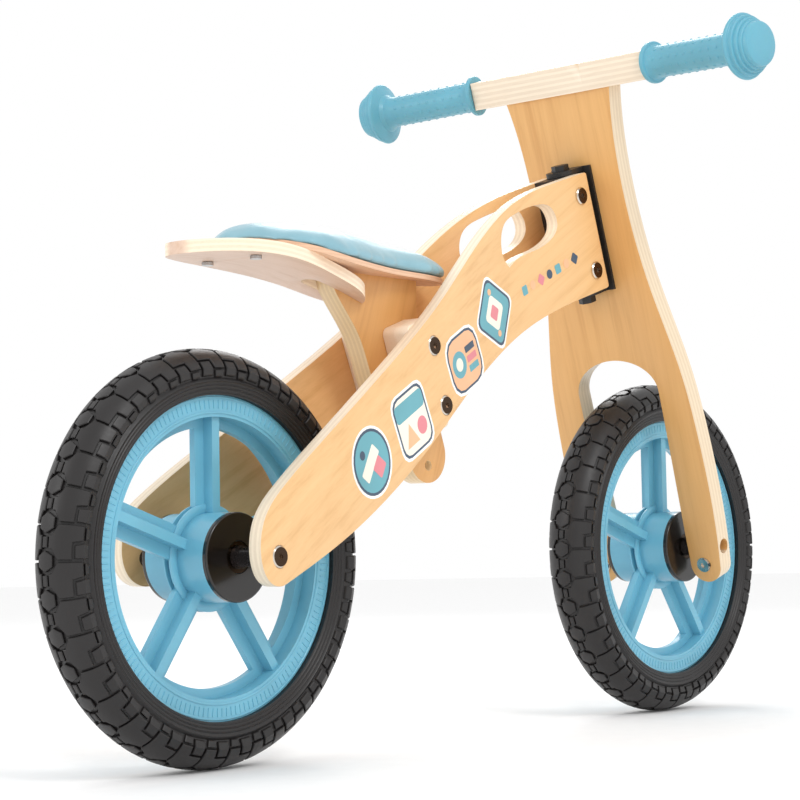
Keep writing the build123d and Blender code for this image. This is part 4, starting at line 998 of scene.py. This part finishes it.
@dataclass
class Grip:
    """A moulded grip with rows of dots and a stepped safety end.

    Attributes:
        side: Which hand it is for.
        shoulder: Centre plane to its inner end.
        rise: The bar's centre line above the front axle, along the fork.
        forward: The bar's centre line ahead of the fork.
        sweep: How far the bar sweeps back, degrees.
        standoff: How far its tilted inner end stays off the bar's shoulder.
        rows: Rows of dots round it.
        per_row: Dots in a row.
        spacing: Distance between the dots of a row.
    """

    side: Side
    shoulder: float = 89.5 * MM
    rise: float = 423.0 * MM
    forward: float = 4.6 * MM
    sweep: float = 8.9
    standoff: float = 2.28 * MM
    rows: int = 10
    per_row: int = 9
    spacing: float = 8.4 * MM

    def profile(self) -> Outline:
        """Its turned outline, (radius, along) in metres."""
        pts = [(11.2, 0.4), (16.6, 0.4)]
        pts += arc(16.4, 1.5, 1.1, -80, 0, 3) + arc(16.4, 3.4, 1.1, 0, 80, 3)
        pts += [(15.0, 4.7), (14.3, 5.4), (13.4, 8.0), (13.2, 12.0), (13.2, 84.0), (13.6, 88.0), (14.6, 91.5),
                (16.4, 93.4), (17.2, 94.4)]
        pts += [(24.6, 96.6)] + arc(24.9, 98.9, 2.1, -90, 90, 8)
        pts += [(24.4, 101.4), (24.4, 104.4), (23.9, 104.9), (22.3, 105.1), (22.1, 107.8), (21.6, 108.3),
                (20.2, 108.5), (20.0, 111.0), (19.5, 111.5), (18.6, 111.7), (18.3, 114.4), (17.6, 115.6),
                (16.2, 116.3), (10.0, 116.6), (0.02, 116.7)]
        return [(r * MM, a * MM) for r, a in pts] + [(0.02 * MM, 112.0 * MM), (11.2 * MM, 112.0 * MM)]

    def dots(self) -> Object:
        """Rows of raised dots on the barrel."""
        rest_selection()
        bpy.ops.mesh.primitive_circle_add(vertices=8, radius=1.7 * MM, fill_type="NGON")
        obj = bpy.context.object
        obj.name = "dot"
        with editing(obj):
            bpy.ops.mesh.extrude_region_move(TRANSFORM_OT_translate={"value": (0, 0, 0.8 * MM)})
            bpy.ops.transform.resize(value=(0.86, 0.86, 1.0))
            bpy.ops.mesh.extrude_region_move(TRANSFORM_OT_translate={"value": (0, 0, 0.35 * MM)})
            bpy.ops.transform.resize(value=(0.55, 0.55, 1.0))
            bpy.ops.mesh.select_all(action="SELECT")
            bpy.ops.mesh.normals_make_consistent(inside=False)
            bpy.ops.transform.translate(value=(0, 12.5 * MM, 12.55 * MM))
        repeat(obj, self.per_row, (0, self.spacing, 0))
        with editing(obj):
            repeat_round(self.rows)
        return obj

    def build(self, paint: Paint) -> None:
        """Builds the grip and puts it on its spigot."""
        name = self.side.name.lower()
        obj = join([turned(f"{name}_grip_body", self.profile(), 72), self.dots()], f"{name}_moulded_grip")
        turn, s = math.radians(self.sweep), self.side.value
        low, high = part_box(f"{name}_grip")
        along = Vector((-math.sin(turn) * math.cos(LEAN), s * math.cos(turn),
                        -math.sin(turn) * math.sin(LEAN)))
        across = along.cross(HEAD_DIR).normalized()
        root = Vector((FRONT_X, s * self.shoulder, AXLE_Z)) + HEAD_DIR * self.rise + AHEAD_DIR * self.forward
        start = root + along * self.standoff
        rot = Matrix((across, along, HEAD_DIR)).transposed().to_4x4()
        obj.data.transform(Matrix.Translation(start) @ rot)
        outward(obj)
        smooth(obj, 26)
        paint.hand_over(obj, Body.STEERING, "grip_rubber", f"{name}_grip")
        places = np.array([v.co[:] for v in obj.data.vertices])
        LOG.info("%s grip box %s %s against %s %s", name, places.min(0).round(4),
                 places.max(0).round(4), tuple(low), tuple(high))


# -------------------- seat


@dataclass
class SeatPad:
    """The padded seat: foam under vinyl, blown up by cloth over its tray.

    Attributes:
        shrink: How much smaller the blank is cut.
        voxel: Size of the blank's cells.
        pressure: Pressure inside the cover.
        cap: How far a point may move.
        steps: Steps of the cloth simulation.
        hem: How far the cover is drawn down over the tray's edge.
        overhang: How far its sides stand out past the tray.
    """

    shrink: float = 1.2 * MM
    voxel: float = 5.0 * MM
    pressure: float = 40.0
    cap: float = 9.0 * MM
    steps: int = 20
    hem: float = 3.2 * MM
    overhang: float = 2.2 * MM

    def blank(self) -> Object:
        """The pad's blank, cut a little small and remeshed."""
        obj = copy_of_node("seat_pad", "seat_cushion")
        with editing(obj):
            bpy.ops.transform.shrink_fatten(value=-self.shrink)
        modify(obj, "REMESH", mode="VOXEL", voxel_size=self.voxel)
        return obj

    def tuck(self, obj: Object) -> None:
        """Draws the cover's sides out and down over the tray's edge."""
        flank = np.array([[v.normal.x, v.normal.y, v.normal.z] for v in obj.data.vertices])
        level = np.hypot(flank[:, 0], flank[:, 1])

        def hang(co: np.ndarray) -> np.ndarray:
            """Moves the flanks and leaves the top and the underside."""
            reach = np.clip((level - 0.35) / 0.5, 0.0, 1.0)[:, None]
            return co + reach * (flank * [1.0, 1.0, 0.0] * self.overhang - np.array([0.0, 0.0, self.hem]))

        reshape(obj, hang)

    def inflate(self, obj: Object) -> None:
        """Blows the blank up as cloth, held at its tray, with no point past the cap."""
        start = np.array([v.co[:] for v in obj.data.vertices])
        group = obj.vertex_groups.new(name="tray")
        for vert in obj.data.vertices:
            if vert.normal.z < -0.55:
                group.add([vert.index], 1.0, "REPLACE")
        take(obj)
        mod = obj.modifiers.new("cloth", "CLOTH")
        mod.settings.use_pressure = True
        mod.settings.uniform_pressure_force = self.pressure
        mod.settings.vertex_group_mass = "tray"
        mod.settings.effector_weights.gravity = 0.0
        mod.settings.quality = 6
        mod.point_cache.frame_start, mod.point_cache.frame_end = 1, self.steps
        for step in range(1, self.steps + 1):
            bpy.context.scene.frame_set(step)
        bpy.ops.object.modifier_apply(modifier=mod.name)
        bpy.context.scene.frame_set(1)

        def capped(co: np.ndarray) -> np.ndarray:
            """Holds each point within the cap of its start."""
            move = co - start
            far = np.linalg.norm(move, axis=1, keepdims=True)
            return start + move * np.minimum(1.0, self.cap / np.maximum(far, 1e-9))

        reshape(obj, capped)

    def build(self, paint: Paint) -> None:
        """Builds the cushion."""
        obj = self.blank()
        low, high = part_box("seat_pad")
        self.inflate(obj)
        modify(obj, "SMOOTH", factor=0.5, iterations=3)
        self.tuck(obj)
        modify(obj, "SUBSURF", levels=1, render_levels=1)
        obj.vertex_groups.clear()
        smooth(obj, 180)
        paint.hand_over(obj, Body.FRAME, "pad_vinyl", "seat_pad")
        heights = [v.co.z for v in obj.data.vertices]
        LOG.info("seat cushion %.4f..%.4f over %.4f..%.4f", min(heights), max(heights), low.z, high.z)


# -------------------- stickers


def panel_face(x: np.ndarray) -> np.ndarray:
    """Centre plane to a side panel's outer face, at a place along the bike."""
    bend = PANEL_FACE_Y + (BEND_FRONT - x) ** 2 / (2 * BEND_RADIUS)
    splay = PANEL_FACE_Y + SPLAY * (SPLAY_X - x)
    return np.where(x > BEND_FRONT, PANEL_FACE_Y, np.where(x > BEND_REAR, bend, splay))


INKS = {"white": shade(250, 248, 244), "navy": shade(52, 74, 96), "teal": shade(98, 166, 178),
        "cream": shade(244, 236, 220), "rose": shade(222, 132, 140), "peach": shade(240, 184, 140)}


@dataclass
class Sticker:
    """A printed sticker of plain shapes on the outer face of a side panel.

    Attributes:
        name: Its name.
        x: Its centre along the bike.
        z: Its centre's height.
        size: Half of its width.
        lean: Its turn in degrees.
        order: Which arrangement of shapes it has.
    """

    name: str
    x: float
    z: float
    size: float
    lean: float
    order: int

    def shapes(self) -> list[tuple[str, Outline]]:
        """Its layers, each an ink and an outline in the sticker's own half widths."""
        def disc(cx: float, cy: float, r: float, count: int = 24) -> Outline:
            """A round outline."""
            turns = [math.tau * i / count for i in range(count)]
            return [(cx + r * math.cos(t), cy + r * math.sin(t)) for t in turns]

        def slab(cx: float, cy: float, a: float, b: float, turn: float = 0.0,
                 soft: float = 0.25) -> Outline:
            """A soft-cornered oblong."""
            pts = []
            r = soft * min(a, b)
            for qx, qy, t0 in ((1, 1, 0), (-1, 1, 90), (-1, -1, 180), (1, -1, 270)):
                for k in range(4):
                    t = math.radians(t0 + 30 * k)
                    px, py = qx * (a - r) + r * math.cos(t), qy * (b - r) + r * math.sin(t)
                    c, s = math.cos(turn), math.sin(turn)
                    pts.append((cx + c * px - s * py, cy + s * px + c * py))
            return pts

        if self.order == 0:
            return [("white", disc(0, 0, 1.0, 32)), ("navy", disc(0, 0, 0.92, 32)),
                    ("teal", disc(0, 0, 0.84, 32)), ("cream", slab(-0.1, 0.0, 0.52, 0.20, 0.6)),
                    ("rose", slab(0.28, -0.26, 0.24, 0.24, 0.6)), ("navy", disc(-0.36, 0.36, 0.13, 12))]
        if self.order == 1:
            return [("white", slab(0, 0, 0.94, 0.98, 0.0, 0.4)), ("navy", slab(0, 0, 0.86, 0.90, 0.0, 0.4)),
                    ("cream", slab(0, 0, 0.79, 0.83, 0.0, 0.4)),
                    ("teal", slab(0, 0.44, 0.79, 0.26, 0.0, 0.5)),
                    ("peach", [(-0.6, -0.62), (0.1, -0.62), (-0.25, 0.02)]),
                    ("rose", disc(0.40, -0.30, 0.26, 20))]
        if self.order == 2:
            return [("white", slab(0, 0, 1.0, 0.92, 0.0, 0.6)), ("navy", slab(0, 0, 0.92, 0.84, 0.0, 0.6)),
                    ("peach", slab(0, 0, 0.85, 0.77, 0.0, 0.6)), ("teal", disc(-0.34, 0.0, 0.40, 24)),
                    ("cream", disc(-0.34, 0.0, 0.20, 20)), ("navy", slab(0.42, 0.26, 0.28, 0.10)),
                    ("rose", slab(0.42, -0.04, 0.28, 0.10)), ("teal", slab(0.42, -0.34, 0.28, 0.10))]
        if self.order == 3:
            nested = [(ink, slab(0, 0, half, half, 0.78, 0.3)) for ink, half in
                      (("white", 0.96), ("navy", 0.88), ("teal", 0.80), ("cream", 0.46), ("rose", 0.22))]
            return nested + [("peach", disc(0.0, 0.72, 0.11, 12)), ("peach", disc(0.0, -0.72, 0.11, 12))]
        inks = ("teal", "peach", "rose", "navy", "teal", "peach", "navy")
        layers = []
        for at, ink in enumerate(inks):
            cx = -0.86 + 1.72 * at / (len(inks) - 1)
            turn = 0.78 if at % 4 == 2 else 0.0
            shape = disc(cx, 0.0, 0.085, 20) if at % 2 else slab(cx, 0.0, 0.085, 0.085, turn, 0.3)
            layers.append((ink, shape))
        return layers

    def build(self, side: Side, inks: dict[str, bpy.types.Material]) -> None:
        """Cuts the sticker's layers and lays them on one panel."""
        parts = []
        for level, (ink, outline) in enumerate(self.shapes()):
            height = (0.05 + 0.05 * min(level, 4)) * MM
            part = prism(self.name, [(x * self.size, y * self.size) for x, y in outline], 0.0, height)
            part.data.materials.append(inks[ink])
            parts.append(part)
        obj = join(parts, f"{side.name.lower()}_{self.name}")
        with editing(obj):
            slice_mesh([float(at) * self.size for at in np.arange(-1.0, 1.01, 0.2)], ALONG)
        turn = math.radians(self.lean)

        def lay(co: np.ndarray) -> np.ndarray:
            """Turns the flat sticker and lays it on the panel's face."""
            a = math.cos(turn) * co[:, 0] - math.sin(turn) * co[:, 1] + self.x
            b = math.sin(turn) * co[:, 0] + math.cos(turn) * co[:, 1] + self.z
            return np.stack([a, side.value * (panel_face(a) + co[:, 2] + 0.02 * MM), b], 1)

        reshape(obj, lay)
        with editing(obj):
            bpy.ops.mesh.normals_make_consistent(inside=False)
        finish_piece(obj, Body.FRAME, "panel_ply")


@dataclass
class Stickers:
    """The set of stickers on both side panels.

    Attributes:
        spots: Centre along the bike, centre's height and half width of each single one.
        lean: The turn of the single ones, degrees.
        strip: The same and the turn of the strip near the head.
    """

    spots: tuple[tuple[float, float, float], ...] = (
        (-0.167, 0.211, 0.0265), (-0.111, 0.243, 0.0265), (-0.0335, 0.293, 0.0265), (0.014, 0.334, 0.0245))
    lean: float = 27.0
    strip: tuple[float, float, float, float] = (0.0995, 0.373, 0.046, 24.7)

    def build(self) -> None:
        """Mixes the inks and lays every sticker."""
        inks = {}
        for name, colour in INKS.items():
            inks[name] = Moulded(f"{name} print", colour, 0.38, 1500.0, 0.03, 0.2).make()
        for side in Side:
            for order, (x, z, size) in enumerate(self.spots):
                Sticker(f"sticker_{order + 1}", x, z, size, self.lean, order).build(side, inks)
            Sticker("sticker_strip", *self.strip, len(self.spots)).build(side, inks)


# -------------------- studio


@dataclass
class Studio:
    """The pale floor, the white surround, the lights and the camera.

    Attributes:
        eye: The camera's place.
        yaw: Its heading from +X towards +Y, degrees.
        pitch: Its tilt up, degrees.
        roll: Its roll, degrees.
        lens: Its focal length in millimetres.
        reach: Radius of the floor.
        drop: How far the floor lies under the tyres.
    """

    eye: tuple[float, float, float] = (-1.3177, -1.0480, 0.1535)
    yaw: float = 40.032
    pitch: float = 3.837
    roll: float = -1.029
    lens: float = 95.19
    reach: float = 7.0
    drop: float = 0.4 * MM

    def floor(self) -> None:
        """The pale floor, a wide disc that runs out to the white surround."""
        rest_selection()
        bpy.ops.mesh.primitive_circle_add(vertices=96, radius=self.reach, fill_type="NGON",
                                          location=(0, 0, -self.drop))
        floor = bpy.context.object
        floor.name = "studio_floor"
        with editing(floor):
            bpy.ops.mesh.inset(thickness=2.0)
        seat_in_frame(floor)
        w = Wiring("studio paper")
        grain = w.noise(w.coords.outputs["Object"], 60.0, 2.0)
        w.set(Base_Color=w.ramp(grain, (0.3, (0.93, 0.93, 0.93)), (0.7, (0.95, 0.95, 0.95))),
              Roughness=0.9, Specular_IOR_Level=0.1)
        floor.data.materials.append(w.material)

    def light(self, name: str, place: Sequence[float], size: float, power: float) -> None:
        """One soft lamp aimed at the bike's middle."""
        data = bpy.data.lights.new(name, "AREA")
        data.shape, data.size, data.energy = "DISK", size, power
        lamp = bpy.data.objects.new(name, data)
        bpy.context.scene.collection.objects.link(lamp)
        lamp.location = place
        lamp.rotation_euler = (Vector((0, 0, 0.22)) - Vector(place)).to_track_quat("-Z", "Y").to_euler()

    def camera(self) -> None:
        """Places the scene's camera."""
        yaw, pitch, roll = (math.radians(v) for v in (self.yaw, self.pitch, self.roll))
        ahead = Vector((math.cos(pitch) * math.cos(yaw), math.cos(pitch) * math.sin(yaw), math.sin(pitch)))
        right = ahead.cross(Vector((0, 0, 1))).normalized()
        up = right.cross(ahead)
        turned_right = math.cos(roll) * right + math.sin(roll) * up
        turned_up = -math.sin(roll) * right + math.cos(roll) * up
        data = bpy.data.cameras.new("camera")
        data.lens, data.sensor_width = self.lens, 36.0
        data.clip_start, data.clip_end = 0.01, 100.0
        obj = bpy.data.objects.new("camera", data)
        bpy.context.scene.collection.objects.link(obj)
        turn = Matrix((turned_right, turned_up, -ahead)).transposed().to_4x4()
        obj.matrix_world = Matrix.Translation(self.eye) @ turn
        bpy.context.scene.camera = obj

    def build(self) -> None:
        """Builds the studio."""
        self.floor()
        world = bpy.data.worlds.new("studio")
        world.use_nodes = True
        back = world.node_tree.nodes["Background"]
        back.inputs[0].default_value = (1.0, 1.0, 1.0, 1.0)
        back.inputs[1].default_value = 1.0
        bpy.context.scene.world = world
        bpy.context.scene.view_settings.view_transform = "Standard"
        self.light("key", (-0.7, -1.9, 2.0), 0.8, 17.0)
        self.light("fill", (-1.9, 0.9, 1.1), 1.0, 6.0)
        self.light("rim", (1.4, 1.0, 1.6), 0.8, 10.0)
        self.camera()


def main() -> None:
    """Builds the bike's looks over its frame."""
    logging.basicConfig(level=logging.INFO, format="%(name)s: %(message)s")
    rest_selection()
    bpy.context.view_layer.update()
    paint = Paint()
    paint.dress_frame()
    Timber().build(paint)
    Wheel("rear", Body.REAR_WHEEL, REAR_X).build(paint)
    Wheel("front", Body.FRONT_WHEEL, FRONT_X).build(paint)
    for side in Side:
        Grip(side).build(paint)
    SeatPad().build(paint)
    Stickers().build()
    Studio().build()
    rest_selection()


if __name__ == "__main__":
    main()
